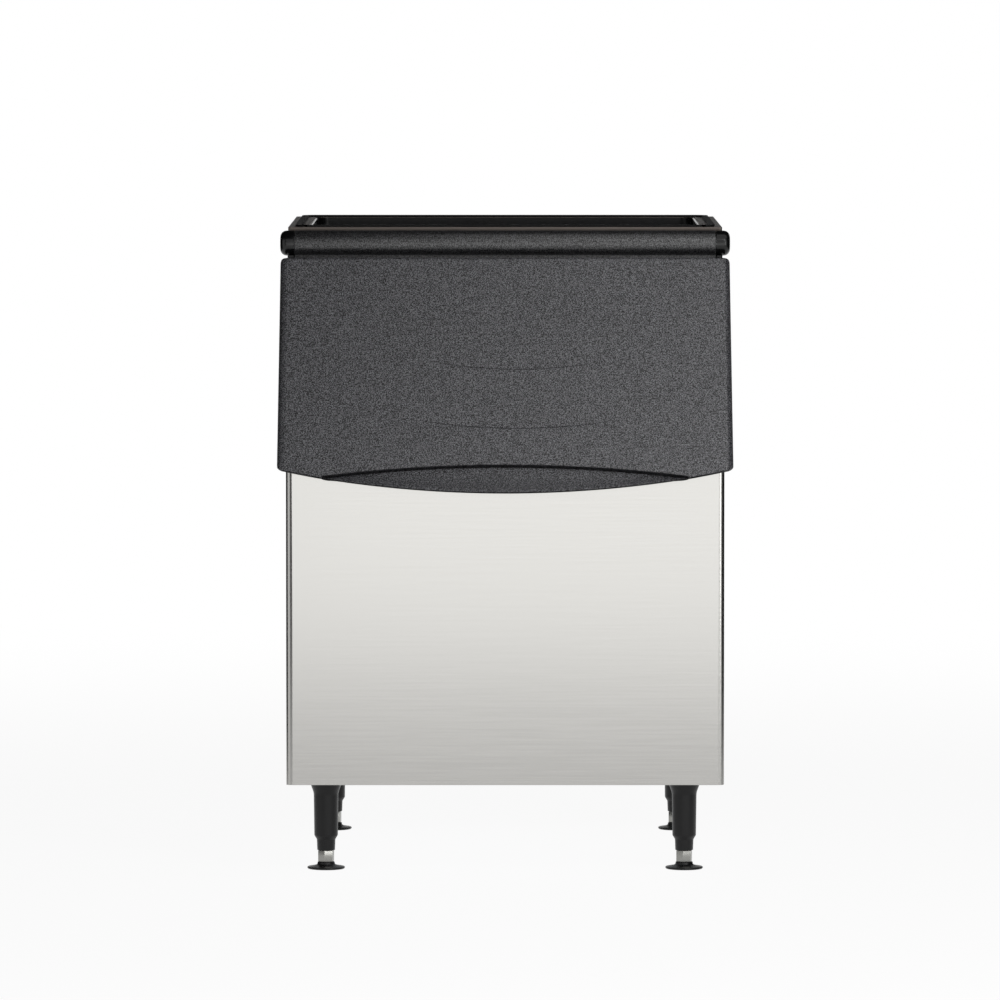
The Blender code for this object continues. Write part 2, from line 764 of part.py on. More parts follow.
def build_throat_trim():
    """The moulded frame of the throat, with the ledge under the barrel and the riser behind it."""
    out = -THROAT_SETBACK
    ledge_y = slope_y_at(ledge_z, out)
    under_y = slope_y_at(ledge_z - TRIM, out - TRIM)
    outline = [
        (front_y, slope_z_at(front_y, out)),
        (ledge_y, ledge_z),
        (deck_y, ledge_z),
        (deck_y, wrap_top),
        (deck_y + TRIM, wrap_top),
        (deck_y + TRIM, ledge_z - TRIM),
        (under_y, ledge_z - TRIM),
        (front_y, slope_z_at(front_y, out - TRIM)),
    ]
    trim = as_object("throat_trim", across(outline, side_x))
    keep(trim, upright(plan_outline(0), cabinet_bottom, cabinet_top))
    cut(trim, across(cavity_outline(0), cavity_half, SIDE_RADIUS))
    cut(trim, hinge_screw_holes())
    return finish_piece(trim, black_plastic)


# Hinge pieces


def hinge_cap_shape():
    """The right-hand cap: a round end with a rounded rim, on a post and a screwed foot."""
    bore = PIN_RADIUS + SEAT_GAP
    profile = [(0, PIN_IN_CAP), (bore, PIN_IN_CAP), (bore, 0), (BARREL_RADIUS, 0)]
    rim = BARREL_RADIUS - CAP_EDGE_RADIUS
    for step in range(EDGE_STEPS + 1):
        angle = math.pi / 2 * step / EDGE_STEPS
        radius = rim + CAP_EDGE_RADIUS * math.cos(angle)
        z = CAP_WIDTH - CAP_EDGE_RADIUS + CAP_EDGE_RADIUS * math.sin(angle)
        profile.append((radius, z))
    profile.append((0, CAP_WIDTH))
    cap = turned(profile, BARREL_SIDES)
    bmesh.ops.transform(cap, matrix=facing(math.pi / 2), verts=cap.verts)
    return placed(cap, (cap_inner, axis_y, axis_z))


def build_hinge_cap(side):
    """A fixed cap that carries one hinge pin."""
    low = ledge_z + SEAT_GAP
    y_low = axis_y + FOOT_SETBACK
    y_high = deck_y - SEAT_GAP
    post_x = side_x - POST_WIDTH
    shapes = [
        hinge_cap_shape(),
        block(post_x, side_x, y_low, y_high, low, axis_z - PIN_RADIUS - CAP_EDGE_RADIUS / 2),
        block(side_x - FOOT_LENGTH, side_x, y_low, y_high, low, low + FOOT_THICKNESS),
    ]
    holes = hinge_screw_holes()
    if side == "left":
        shapes = [mirrored(shape) for shape in shapes]
    cap = as_object(f"hinge_cap_{side}", shapes[0])
    join(cap, shapes[1])
    join(cap, shapes[2])
    cut(cap, holes)
    return finish_piece(cap, black_plastic)


def build_hinge_pin(side):
    """A steel pin, held in the cap and turning in the barrel's bush."""
    inner = cap_inner - SEAT_GAP - BUSH_FLANGE - BUSH_LENGTH
    outer = cap_inner + PIN_IN_CAP - SEAT_GAP
    tip = PIN_RADIUS / 4
    profile = [(0, inner), (PIN_RADIUS - tip, inner), (PIN_RADIUS, inner + tip)]
    profile += [(PIN_RADIUS, outer), (0, outer)]
    pin = turned(profile, ROUND_SIDES)
    bmesh.ops.transform(pin, matrix=facing(math.pi / 2), verts=pin.verts)
    placed(pin, (0, axis_y, axis_z))
    if side == "left":
        mirrored(pin)
    return finish_piece(as_object(f"hinge_pin_{side}", pin), zinc)


def build_hinge_bush(side, door):
    """A flanged nylon bush in the end of the barrel."""
    inner = barrel_half - BUSH_LENGTH
    outer = barrel_half + SEAT_GAP
    profile = [
        (bush_bore, inner),
        (bush_radius, inner),
        (bush_radius, outer),
        (BUSH_FLANGE_RADIUS, outer),
        (BUSH_FLANGE_RADIUS, outer + BUSH_FLANGE),
        (bush_bore, outer + BUSH_FLANGE),
    ]
    bush = turned(profile, ROUND_SIDES, closed=True)
    bmesh.ops.transform(bush, matrix=facing(math.pi / 2), verts=bush.verts)
    if side == "left":
        mirrored(bush)
    return finish_piece(as_object(f"hinge_bush_{side}", bush), white_plastic, door)


def build_hinge_barrel(door):
    """The round bar along the top of the door, with a tongue that the door is built round."""
    start = math.pi - math.asin(TONGUE_ABOVE / BARREL_RADIUS)
    end = -math.pi + math.asin(TONGUE_BELOW / BARREL_RADIUS)
    outline = []
    for step in range(BARREL_SIDES + 1):
        angle = start + (end - start) * step / BARREL_SIDES
        outline.append((BARREL_RADIUS * math.cos(angle), BARREL_RADIUS * math.sin(angle)))
    outline += [(-TONGUE_REACH, -TONGUE_BELOW), (-TONGUE_REACH, TONGUE_ABOVE)]
    barrel = as_object("hinge_barrel", across(outline, barrel_half))
    bore = rod(bush_radius + SEAT_GAP, -side_x - OVERRUN, side_x + OVERRUN, ROUND_SIDES)
    bmesh.ops.transform(bore, matrix=facing(math.pi / 2), verts=bore.verts)
    cut(barrel, bore)
    return finish_piece(barrel, textured, door)


# Door pieces, drawn lying flat


def rounding(distance, radius):
    """How far a rounded edge falls away, this far in from where it ends."""
    if distance >= radius:
        return 0.0
    return radius - math.sqrt(radius**2 - (radius - distance) ** 2)


def door_stations(inset):
    """Shares of the half width at which the door's sections stand, closer at its rounded sides."""
    half = DOOR_WIDTH / 2 - inset
    radius = DOOR_SIDE_RADIUS - inset
    edge = []
    for step in range(EDGE_STEPS):
        angle = math.pi / 2 * step / EDGE_STEPS
        edge.append(1 - radius * (1 - math.cos(angle)) / half)
    flat = 1 - radius / half
    middle = [flat - 2 * flat * step / DOOR_SPAN_STEPS for step in range(DOOR_SPAN_STEPS + 1)]
    right = edge + middle
    return right + [-share for share in reversed(edge)]


def level_rise(depth):
    """How far a cut that is level on the hung door climbs its slope over this depth."""
    return depth * math.tan(DOOR_SLOPE)


def door_section(share, inset, back):
    """One section of the door from back to front and back again, as points of the flat door."""
    half_bottom = DOOR_WIDTH / 2 - inset
    from_side = (1 - abs(share)) * half_bottom
    side_fall = rounding(from_side, DOOR_SIDE_RADIUS - inset)
    x_mid = share * half_bottom
    top = DOOR_TOP + inset + rounding(from_side, DOOR_UPPER_CORNER)
    outer_bottom = door_drop_at(x_mid) - rounding(from_side, DOOR_LOWER_CORNER)
    bottom = outer_bottom - inset / math.cos(DOOR_SLOPE) - level_rise(inset)
    face = DOOR_STANDOFF - inset - side_fall
    chin = chin_drop_at(x_mid) - inset
    height = max(bottom - chin, CHIN_LEAST)
    start = bottom - height
    strength = min(1.0, max(0.0, bottom - chin) / CHIN_FADE)
    full = door_drop_at(0) - chin_drop_at(0)
    flare = CHIN_FLARE * min(1.0, max(0.0, bottom - chin) / full)
    step_in = CHIN_STEP * strength
    top_radius = DOOR_TOP_RADIUS - inset
    lip = LIP_RADIUS - inset
    points = [(top, back), (top, face - top_radius)]
    for step in (1, 2):
        angle = math.pi / 2 * step / 3
        out = face - top_radius * (1 - math.sin(angle))
        points.append((top + top_radius * (1 - math.cos(angle)), out))
    points.append((top + top_radius, face))
    points.append((start, face))
    run_end = start + min(CHIN_STEP_RUN, height / 4)
    hollow_start = run_end + inset
    hollow_end = outer_bottom - min(LIP_RADIUS, height / 3)
    crest = min(hollow_end, bottom - min(lip, height / 3))
    for step in range(FLARE_STEPS + 1):
        drop = run_end + (crest - run_end) * step / FLARE_STEPS
        along = max(0.0, drop - hollow_start) / (hollow_end - hollow_start)
        out = face - step_in + (step_in + flare) * along**2
        points.append((drop, out))
    crest_out = out
    fall = bottom - crest
    for step in (1, 2):
        angle = DOOR_SLOPE * step
        points.append((crest + fall * math.sin(angle), crest_out - lip * (1 - math.cos(angle))))
    points.append((bottom, crest_out - lip))
    points.append((bottom - level_rise(crest_out - lip - back), back))
    section = []
    for drop, z in points:
        grown = (drop - DOOR_TOP) / (DOOR_CORNER_DROP - DOOR_TOP)
        half = DOOR_TOP_WIDTH / 2 + (DOOR_WIDTH - DOOR_TOP_WIDTH) / 2 * grown - inset
        section.append((share * half, -drop, z))
    return section


def door_body(inset, back):
    """The door's whole outer form, drawn in by this much, as one closed solid."""
    bm = bmesh.new()
    loops = []
    for share in door_stations(inset):
        verts = [bm.verts.new(point) for point in door_section(share, inset, back)]
        loops.append([bm.edges.new(pair) for pair in zip(verts, verts[1:] + verts[:1])])
    for near, far in zip(loops, loops[1:]):
        bmesh.ops.bridge_loops(bm, edges=near + far)
    for end in (loops[0], loops[-1]):
        bmesh.ops.edgeloop_fill(bm, edges=end)
    bmesh.ops.recalc_face_normals(bm, faces=bm.faces)
    return bm


def build_door_outer_skin(door):
    """The textured shell: face, rounded sides that lap the cabinet, and the hollowed chin."""
    skin = as_object("door_outer_skin", door_body(0, -SKIRT_DEPTH))
    cut(skin, door_body(DOOR_SKIN, -SKIRT_DEPTH - OVERRUN))
    half = side_x + SKIRT_CLEARANCE
    deep = -SKIRT_DEPTH - OVERRUN
    low = -DOOR_CENTRE_DROP - OVERRUN
    cut(skin, block(-half, half, low, 0, deep, -PANEL_BACK))
    slot = barrel_half + SEAT_GAP
    floor = -DOOR_TOP - DOOR_SKIN - SEAT_GAP
    cut(skin, block(-slot, slot, floor, 0, deep, TONGUE_ABOVE + SEAT_GAP))
    return finish_piece(skin, textured, door)


def plug_shape(inset, top):
    """The pan in the inner panel, which fills the throat when shut: a tapered block."""
    half = cavity_half - PLUG_SETBACK - inset
    high = -lintel_drop - PLUG_SETBACK - inset
    low = -sill_drop + PLUG_SETBACK + inset
    radius = PLUG_RADIUS - inset
    lean = PLUG_DRAFT / PLUG_DEPTH
    bm = bmesh.new()
    loops = []
    for height in (-PANEL_BACK - PLUG_DEPTH + inset, top):
        draft = -(height + PANEL_BACK) * lean
        outline = rectangle(-half + draft, half - draft, low + draft, high - draft, radius, radius)
        verts = [bm.verts.new((x, y, height)) for x, y in outline]
        loops.append([bm.edges.new(pair) for pair in zip(verts, verts[1:] + verts[:1])])
    bmesh.ops.bridge_loops(bm, edges=loops[0] + loops[1])
    for end in loops:
        bmesh.ops.edgeloop_fill(bm, edges=end)
    bmesh.ops.recalc_face_normals(bm, faces=bm.faces)
    return bm


def build_door_inner_panel(door):
    """The door's back: a thin moulding with a pan pressed into the throat."""
    panel = as_object("door_inner_panel", door_body(DOOR_SKIN + SEAT_GAP, -PANEL_BACK))
    low = -DOOR_CENTRE_DROP - OVERRUN
    keep(panel, block(-side_x - OVERRUN, side_x + OVERRUN, low, 0, -OVERRUN, -panel_front))
    join(panel, plug_shape(0, -panel_front - PANEL_SHEET / 2))
    cut(panel, plug_shape(PANEL_SHEET, OVERRUN))
    return finish_piece(panel, white_plastic, door)


def build_door_insulation(door):
    """Foam that fills the door, cut away round the barrel's tongue."""
    inset = DOOR_SKIN + FOAM_GAP
    foam = as_object("door_insulation", door_body(inset, -panel_front + SEAT_GAP))
    half = barrel_half + SEAT_GAP
    low = -TONGUE_REACH - SEAT_GAP
    cut(foam, block(-half, half, low, 0, -PANEL_BACK, TONGUE_ABOVE + SEAT_GAP))
    join(foam, plug_shape(PANEL_SHEET + SEAT_GAP, 0))
    return finish_piece(foam, foam_finish, door)


def build_door_gasket(door):
    """A soft frame on the inner panel that closes on the throat trim."""
    middle_x = (cavity_half + side_x) / 2
    high = -ledge_front_drop - LINTEL_WIDTH / 2
    low = -sill_drop - SILL_WIDTH / 2
    loops = []
    for grow in (SEAL_WIDTH / 2, -SEAL_WIDTH / 2):
        half = middle_x + grow
        radius = SEAL_RADIUS + grow
        loops.append(rectangle(-half, half, low - grow, high + grow, radius, radius))
    base = -PANEL_BACK - SEAT_GAP
    crown = -THROAT_SETBACK + SEAT_GAP
    gasket = ring(loops[0], loops[1], crown, base)
    bmesh.ops.recalc_face_normals(gasket, faces=gasket.faces)
    rim = []
    for edge in gasket.edges:
        on_crown = all(abs(vert.co.z - crown) < WELD for vert in edge.verts)
        if on_crown and {face.normal.z > WELD - 1 for face in edge.link_faces} == {True, False}:
            rim.append(edge)
    bmesh.ops.bevel(
        gasket, geom=rim, offset=SEAL_CROWN, offset_type="OFFSET", segments=2,
        profile=ROUND_PROFILE_SHARE, affect="EDGES", clamp_overlap=False, material=-1,
    )
    return finish_piece(as_object("door_gasket", gasket), rubber, door)


# Legs and levelling feet, drawn about their own centre line

hex_low = PAD_HEIGHT + SEAT_GAP
hex_high = hex_low + HEX_HEIGHT
neck_low = hex_high + SEAT_GAP
sleeve_top = pan_bottom - SEAT_GAP


def build_leg():
    """The fixed part of a leg: stud, flared top, tapered sleeve and a neck with the foot's bore."""
    profile = [(0, sleeve_top + STUD_LENGTH), (STUD_RADIUS, sleeve_top + STUD_LENGTH)]
    profile += [(STUD_RADIUS, sleeve_top), (FLARE_RADIUS, sleeve_top)]
    for step in range(1, FLARE_STEPS + 1):
        along = step / FLARE_STEPS
        spread = (FLARE_RADIUS - SLEEVE_TOP_RADIUS) * (1 - along) ** 2
        profile.append((SLEEVE_TOP_RADIUS + spread, sleeve_top - FLARE_HEIGHT * along))
    neck_high = neck_low + NECK_HEIGHT
    bore = ROD_RADIUS + SEAT_GAP
    profile += [
        (SLEEVE_BOTTOM_RADIUS, neck_high + SLEEVE_CHAMFER),
        (NECK_RADIUS, neck_high),
        (NECK_RADIUS, neck_low),
        (bore, neck_low),
        (bore, neck_low + ROD_BORE_DEPTH),
        (0, neck_low + ROD_BORE_DEPTH),
    ]
    return as_object("leg", turned(profile, ROUND_SIDES))


def build_leg_nut_plate():
    """The threaded plate inside the base that a leg's stud screws into."""
    half = NUT_PLATE_WIDTH / 2
    low = pan_top + SEAT_GAP
    plate = as_object("leg_nut_plate", block(-half, half, -half, half, low, low + NUT_PLATE))
    cut(plate, rod(STUD_RADIUS + SEAT_GAP, low - OVERRUN, low + OVERRUN))
    return plate


def build_foot_stem():
    """The steel part of a foot: threaded rod, hexagon for the wrench and the pad's spigot."""
    reach = HEX_WIDTH / 2
    hexagon = [(0, hex_low), (reach, hex_low), (reach, hex_high), (0, hex_high)]
    stem = as_object("foot_stem", turned(hexagon, 6))
    middle = (hex_low + hex_high) / 2
    join(stem, rod(ROD_RADIUS, middle, hex_high + ROD_LENGTH))
    join(stem, rod(SPIGOT_RADIUS, hex_low - SPIGOT_LENGTH, middle))
    return stem


def build_foot_pad():
    """The round foot that stands on the floor and lets the stem turn in it."""
    socket = SPIGOT_RADIUS + SEAT_GAP
    socket_floor = hex_low - SPIGOT_LENGTH - SEAT_GAP
    profile = [
        (0, 0),
        (PAD_RADIUS - PAD_EDGE / 2, 0),
        (PAD_RADIUS, PAD_EDGE / 2),
        (PAD_RADIUS, PAD_EDGE),
        (PAD_HUB_RADIUS + PAD_SHOULDER, PAD_CROWN),
        (PAD_HUB_RADIUS, PAD_CROWN + PAD_SHOULDER / 2),
        (PAD_HUB_RADIUS, PAD_HEIGHT),
        (socket, PAD_HEIGHT),
        (socket, socket_floor),
        (0, socket_floor),
    ]
    return as_object("foot_pad", turned(profile, ROUND_SIDES))


def build_legs():
    """Four of each leg piece, one set under each corner of the cabinet."""
    pieces = [
        ("leg", build_leg(), leg_plastic, False),
        ("leg_nut_plate", build_leg_nut_plate(), zinc, False),
        ("foot_stem", build_foot_stem(), zinc, True),
        ("foot_pad", build_foot_pad(), leg_plastic, True),
    ]
    pivots = {}
    for corner, x, y in leg_places:
        pivots[corner] = make_pivot(f"foot_pivot_{corner}", (x, y, 0))
    for name, pattern, finish, moves in pieces:
        finish_piece(pattern, finish)
        for corner, x, y in leg_places:
            parent = pivots[corner] if moves else None
            place = None if moves else (x, y, 0)
            copy_piece(f"{name}_{corner}", pattern, parent, place)
        bpy.data.objects.remove(pattern, do_unlink=True)


# Drain

flange_low = floor_height + SEAT_GAP + DRAIN_WASHER + SEAT_GAP
flange_high = flange_low + DRAIN_FLANGE


def build_drain():
    """The floor drain: flanged tube, its washer, the nut under the base and the strainer."""
    place = (0, drain_y, 0)
    profile = [
        (DRAIN_BORE_RADIUS, cabinet_bottom - DRAIN_OUTLET),
        (DRAIN_TUBE_RADIUS, cabinet_bottom - DRAIN_OUTLET),
        (DRAIN_TUBE_RADIUS, flange_low),
        (DRAIN_FLANGE_RADIUS, flange_low),
        (DRAIN_FLANGE_RADIUS, flange_high),
        (DRAIN_BORE_RADIUS, flange_high),
    ]
    fitting = as_object("drain_fitting", turned(profile, ROUND_SIDES, closed=True))
    finish_piece(fitting, white_plastic, None, place)
    clear = DRAIN_TUBE_RADIUS + SEAT_GAP
    low = floor_height + SEAT_GAP
    profile = [(clear, low), (DRAIN_FLANGE_RADIUS, low)]
    profile += [(DRAIN_FLANGE_RADIUS, low + DRAIN_WASHER), (clear, low + DRAIN_WASHER)]
    washer = as_object("drain_washer", turned(profile, ROUND_SIDES, closed=True))
    finish_piece(washer, rubber, None, place)
    high = pan_bottom - SEAT_GAP
    low = high - DRAIN_NUT_HEIGHT
    reach = DRAIN_NUT_WIDTH / 2
    nut = as_object("drain_nut", turned([(0, low), (reach, low), (reach, high), (0, high)], 6))
    cut(nut, rod(clear, low - OVERRUN, high + OVERRUN, ROUND_SIDES))
    finish_piece(nut, white_plastic, None, place)
    low = flange_high + SEAT_GAP
    high = low + STRAINER
    outer = DRAIN_BORE_RADIUS - SEAT_GAP
    inner = outer - STRAINER_WALL
    profile = [(0, high), (STRAINER_RADIUS, high), (STRAINER_RADIUS, low), (outer, low)]
    profile += [(outer, low - STRAINER_SPIGOT), (inner, low - STRAINER_SPIGOT), (inner, low), (0, low)]
    strainer = as_object("drain_strainer", turned(profile, ROUND_SIDES))
    holes = []
    for index in range(STRAINER_HOLES):
        angle = 2 * math.pi * index / STRAINER_HOLES
        x = STRAINER_HOLE_CIRCLE * math.cos(angle)
        y = STRAINER_HOLE_CIRCLE * math.sin(angle)
        hole = rod(STRAINER_HOLE_RADIUS, low - OVERRUN, high + OVERRUN, HOLE_SIDES)
        holes.append(placed(hole, (x, y, 0)))
    cut(strainer, gathered(holes))
    finish_piece(strainer, black_plastic, None, place)


# Baffle

stud_seat = beam_back + SEAT_GAP
baffle_front = stud_seat + STUD_DISC + (STUD_SHANK - BAFFLE_SHEET) / 2


def strip_outline(path, thickness):
    """The side view of a bent sheet: a path and the same path one thickness to its left."""
    points = [Vector(point) for point in path]
    headings = [(b - a).normalized() for a, b in zip(points, points[1:])]
    beside = []
    for index, point in enumerate(points):
        before = headings[max(index - 1, 0)]
        after = headings[min(index, len(headings) - 1)]
        left = (Vector((-before.y, before.x)) + Vector((-after.y, after.x))).normalized()
        lean = left.dot(Vector((-after.y, after.x)))
        beside.append(point + left * (thickness / lean))
    return [tuple(point) for point in points] + [tuple(point) for point in reversed(beside)]


def build_baffle(pivot):
    """The bent plate behind the throat that holds the ice back; it lifts off its two studs."""
    high = baffle_stud_z + BAFFLE_ABOVE_STUD
    bend = baffle_stud_z - BAFFLE_BELOW_STUD
    low_y = baffle_front - BAFFLE_SLANT * down_forward
    low_z = bend - BAFFLE_SLANT * down_fall
    path = [
        (baffle_front, high),
        (baffle_front, bend),
        (low_y, low_z),
        (low_y + BAFFLE_HEM * down_fall, low_z - BAFFLE_HEM * down_forward),
    ]
    sheet = across(strip_outline(path, BAFFLE_SHEET), baffle_half)
    baffle = as_object("baffle", sheet)
    slot = STUD_SHANK_RADIUS + SEAT_GAP
    eye = STUD_HEAD_RADIUS + KEYHOLE_CLEARANCE
    far = baffle_front + OVERRUN
    near = baffle_front - OVERRUN / 2
    centre = baffle_stud_z - KEYHOLE_LIFT
    slots = []
    ways = []
    eyes = []
    for _, x in baffle_stud_places:
        hole = rod(slot, -OVERRUN / 2, OVERRUN)
        slots.append(placed(hole, (x, baffle_front, baffle_stud_z), -math.pi / 2))
        ways.append(block(x - slot, x + slot, near, far, centre, baffle_stud_z))
        hole = rod(eye, -OVERRUN / 2, OVERRUN, ROUND_SIDES)
        eyes.append(placed(hole, (x, baffle_front, centre), -math.pi / 2))
    cut(baffle, gathered(slots))
    cut(baffle, gathered(ways))
    cut(baffle, gathered(eyes))
    baffle.data.transform(Matrix.Translation(-pivot.location))
    return finish_piece(baffle, stainless, pivot)


def build_baffle_studs():
    """Two shouldered studs in the liner that the baffle hangs on."""
    shank_end = STUD_DISC + STUD_SHANK
    profile = [
        (0, -LINER_WALL + SEAT_GAP),
        (STUD_SHANK_RADIUS, -LINER_WALL + SEAT_GAP),
        (STUD_SHANK_RADIUS, 0),
        (STUD_BASE_RADIUS, 0),
        (STUD_BASE_RADIUS, STUD_DISC),
        (STUD_SHANK_RADIUS, STUD_DISC),
        (STUD_SHANK_RADIUS, shank_end),
        (STUD_HEAD_RADIUS, shank_end),
        (STUD_HEAD_RADIUS, shank_end + STUD_DISC),
        (0, shank_end + STUD_DISC),
    ]
    for side, x in baffle_stud_places:
        shape = placed(turned(profile, SMALL_SIDES), turn=-math.pi / 2)
        stud = as_object(f"baffle_stud_{side}", shape)
        finish_piece(stud, zinc, None, (x, stud_seat, baffle_stud_z))


# Screws


def screw_shape(length):
    """A plain pan-head screw along Z, with the underside of its head at zero."""
    profile = [
        (0, -length),
        (SCREW_RADIUS, -length),
        (SCREW_RADIUS, 0),
        (SCREW_HEAD_RADIUS, 0),
        (SCREW_HEAD_RADIUS, SCREW_HEAD / 2),
        (SCREW_HEAD_RADIUS - SCREW_HEAD / 2, SCREW_HEAD),
        (0, SCREW_HEAD),
    ]
    return turned(profile, SMALL_SIDES)


def build_screws():
    """The back panel's screws and the hinge caps' screws."""
    back = as_object("screw", placed(screw_shape(BACK_SCREW_LENGTH), turn=-math.pi / 2))
    finish_piece(back, zinc)
    heights = ("lower", "middle", "upper")
    for index, (x, z) in enumerate(back_screw_places):
        side = "left" if x < 0 else "right"
        name = f"back_screw_{side}_{heights[index % BACK_SCREW_ROWS]}"
        copy_piece(name, back, None, (x, back_y + SEAT_GAP, z))
    bpy.data.objects.remove(back, do_unlink=True)
    hinge = finish_piece(as_object("screw", screw_shape(HINGE_SCREW_LENGTH)), zinc)
    seat = ledge_z + SEAT_GAP + FOOT_THICKNESS + SEAT_GAP
    for index, (x, y) in enumerate(hinge_screw_places):
        side = "left" if x < 0 else "right"
        place = "inner" if index % 2 == 0 else "outer"
        copy_piece(f"hinge_screw_{side}_{place}", hinge, None, (x, y, seat))
    bpy.data.objects.remove(hinge, do_unlink=True)


# The whole bin

door_pivot = make_pivot("door_pivot", (0, axis_y, axis_z), DOOR_TURN)
baffle_pivot = make_pivot("baffle_pivot", (0, stud_seat, baffle_stud_z))
build_outer_wrap()
build_back_panel()
build_base_pan()
build_insulation()
build_liner()
build_top_frame()
build_machine_gasket()
build_top_collar()
build_throat_trim()
for side in ("left", "right"):
    build_hinge_cap(side)
    build_hinge_pin(side)
    build_hinge_bush(side, door_pivot)
build_hinge_barrel(door_pivot)
build_door_outer_skin(door_pivot)
build_door_inner_panel(door_pivot)
build_door_insulation(door_pivot)
build_door_gasket(door_pivot)
build_legs()
build_drain()
build_baffle(baffle_pivot)
build_baffle_studs()
build_screws()
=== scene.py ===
# %% [markdown]
# # An ice storage bin, dressed and lit
#
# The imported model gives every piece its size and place. This script adds what the eye expects on top
# of that: folded sheet with soft edges, grained plastic, brushed steel, and a plain studio.
# Each step says what the piece is on the real bin, how it could be made and why this way was chosen.

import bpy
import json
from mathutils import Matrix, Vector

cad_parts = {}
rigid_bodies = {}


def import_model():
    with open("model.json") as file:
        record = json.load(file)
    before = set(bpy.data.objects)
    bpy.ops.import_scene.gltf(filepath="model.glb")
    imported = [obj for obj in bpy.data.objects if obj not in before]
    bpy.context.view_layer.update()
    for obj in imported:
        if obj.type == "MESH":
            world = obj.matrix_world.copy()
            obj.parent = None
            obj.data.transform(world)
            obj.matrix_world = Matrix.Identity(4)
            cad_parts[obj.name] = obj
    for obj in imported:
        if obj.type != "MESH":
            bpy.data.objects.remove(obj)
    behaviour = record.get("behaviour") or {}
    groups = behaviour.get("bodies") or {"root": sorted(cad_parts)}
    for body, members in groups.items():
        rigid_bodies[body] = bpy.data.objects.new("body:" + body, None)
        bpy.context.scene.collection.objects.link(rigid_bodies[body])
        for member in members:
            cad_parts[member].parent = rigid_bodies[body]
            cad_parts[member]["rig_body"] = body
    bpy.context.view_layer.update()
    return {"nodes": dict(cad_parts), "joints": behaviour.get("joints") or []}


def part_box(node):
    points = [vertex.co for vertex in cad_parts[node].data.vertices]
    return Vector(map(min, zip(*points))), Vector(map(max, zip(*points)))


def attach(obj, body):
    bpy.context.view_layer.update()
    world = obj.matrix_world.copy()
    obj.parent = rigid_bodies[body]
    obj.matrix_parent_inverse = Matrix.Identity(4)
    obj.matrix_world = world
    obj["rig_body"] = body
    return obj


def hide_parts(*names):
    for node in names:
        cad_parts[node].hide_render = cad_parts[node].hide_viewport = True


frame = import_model()

import json
import math

import bmesh
import bpy
from mathutils import Matrix, Vector

print("nodes in the frame:", len(frame["nodes"]))

# %% [markdown]
# ## Places that several pieces share
#
# The cabinet is a plain box, so its sheet's corners give most of the levels. Pieces that touch on the
# real bin stand a small gap apart. The door is easier to draw lying flat, with x across, y up the door
# from its hinge and z out of its face. One matrix then stands it at its slope, as a hinge would.

# %% Levels and lines read from the frame
MM = 0.001
SEAT_GAP = 0.3 * MM
wrap_low, wrap_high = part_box("outer_wrap")
frame_low, frame_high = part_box("top_frame")
collar_low, collar_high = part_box("top_collar")
gasket_low, gasket_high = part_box("machine_gasket")
cap_low, cap_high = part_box("hinge_cap_right")
barrel_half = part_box("hinge_barrel")[1].x
half_width = wrap_high.x
front_y = wrap_low.y
back_y = frame_high.y
deck_y = frame_low.y
hinge = next(joint for joint in frame["joints"] if joint["name"] == "door_hinge")
hinge_y, hinge_z = hinge["pos_m"][1:]
print(f"cabinet {2 * half_width:.3f} m wide, hinge line at {hinge_y:.3f}, {hinge_z:.3f}")

# %% The door's slope
DOOR_SLOPE = math.radians(26.0)
lean_back = Matrix.Rotation(math.pi / 2 - DOOR_SLOPE, 4, "X")
stand_door = Matrix.Translation((0, hinge_y, hinge_z)) @ lean_back
slope_out = Vector((0, -math.cos(DOOR_SLOPE), math.sin(DOOR_SLOPE)))
slope_down = Vector((0, -math.sin(DOOR_SLOPE), -math.cos(DOOR_SLOPE)))
print("the door's face points to", tuple(round(value, 3) for value in slope_out))

# %% [markdown]
# ## Finishes
#
# A finish is a small tree of nodes. Helpers keep the trees short: one turns a colour as a painter
# writes it (sRGB hex) into the linear values that light needs, others add a node and fill its sockets.

# %% Colours and nodes
def colour(code):
    """An sRGB hex colour as linear red, green, blue and a full alpha."""
    values = []
    for start in (0, 2, 4):
        share = int(code[start:start + 2], 16) / 255
        values.append(share / 12.92 if share <= 0.04045 else ((share + 0.055) / 1.055) ** 2.4)
    return (*values, 1.0)


def fill(tree, node, inputs):
    """Fills a node's sockets with values or links."""
    for key, value in dict(inputs).items():
        if isinstance(value, bpy.types.NodeSocket):
            tree.links.new(value, node.inputs[key])
        else:
            node.inputs[key].default_value = value
    return node


def add(tree, kind, inputs=(), **settings):
    """Adds a node with its settings, values and links."""
    node = tree.nodes.new(kind)
    for name, value in settings.items():
        setattr(node, name, value)
    return fill(tree, node, inputs)


def start_finish(name, base, metallic, roughness):
    """A new material with a plain Principled surface, and its tree and shader to build on."""
    finish = bpy.data.materials.new(name)
    finish.use_nodes = True
    tree = finish.node_tree
    values = {"Base Color": colour(base), "Metallic": metallic, "Roughness": roughness}
    return finish, tree, fill(tree, tree.nodes["Principled BSDF"], values)


print("mid grey 808080 is", round(colour("808080")[0], 3), "in linear light")

# %% [markdown]
# ### Brushed stainless steel
#
# The cabinet is 304 stainless sheet, finished with an abrasive belt that runs across the bin. The belt
# leaves scratches a few hundredths of a millimetre wide and hand-long. A noise stretched along x and y
# draws them. Real ones are far too fine to show, so these are about 2 mm apart, and very faint: soft
# level streaks to the eye. The channel on top has a rougher satin, and its darker colour is painted
# shade.

# %% Brushed stainless steel
STREAK_SPREAD = 0.04
STREAK_DEPTH = 0.1 * MM


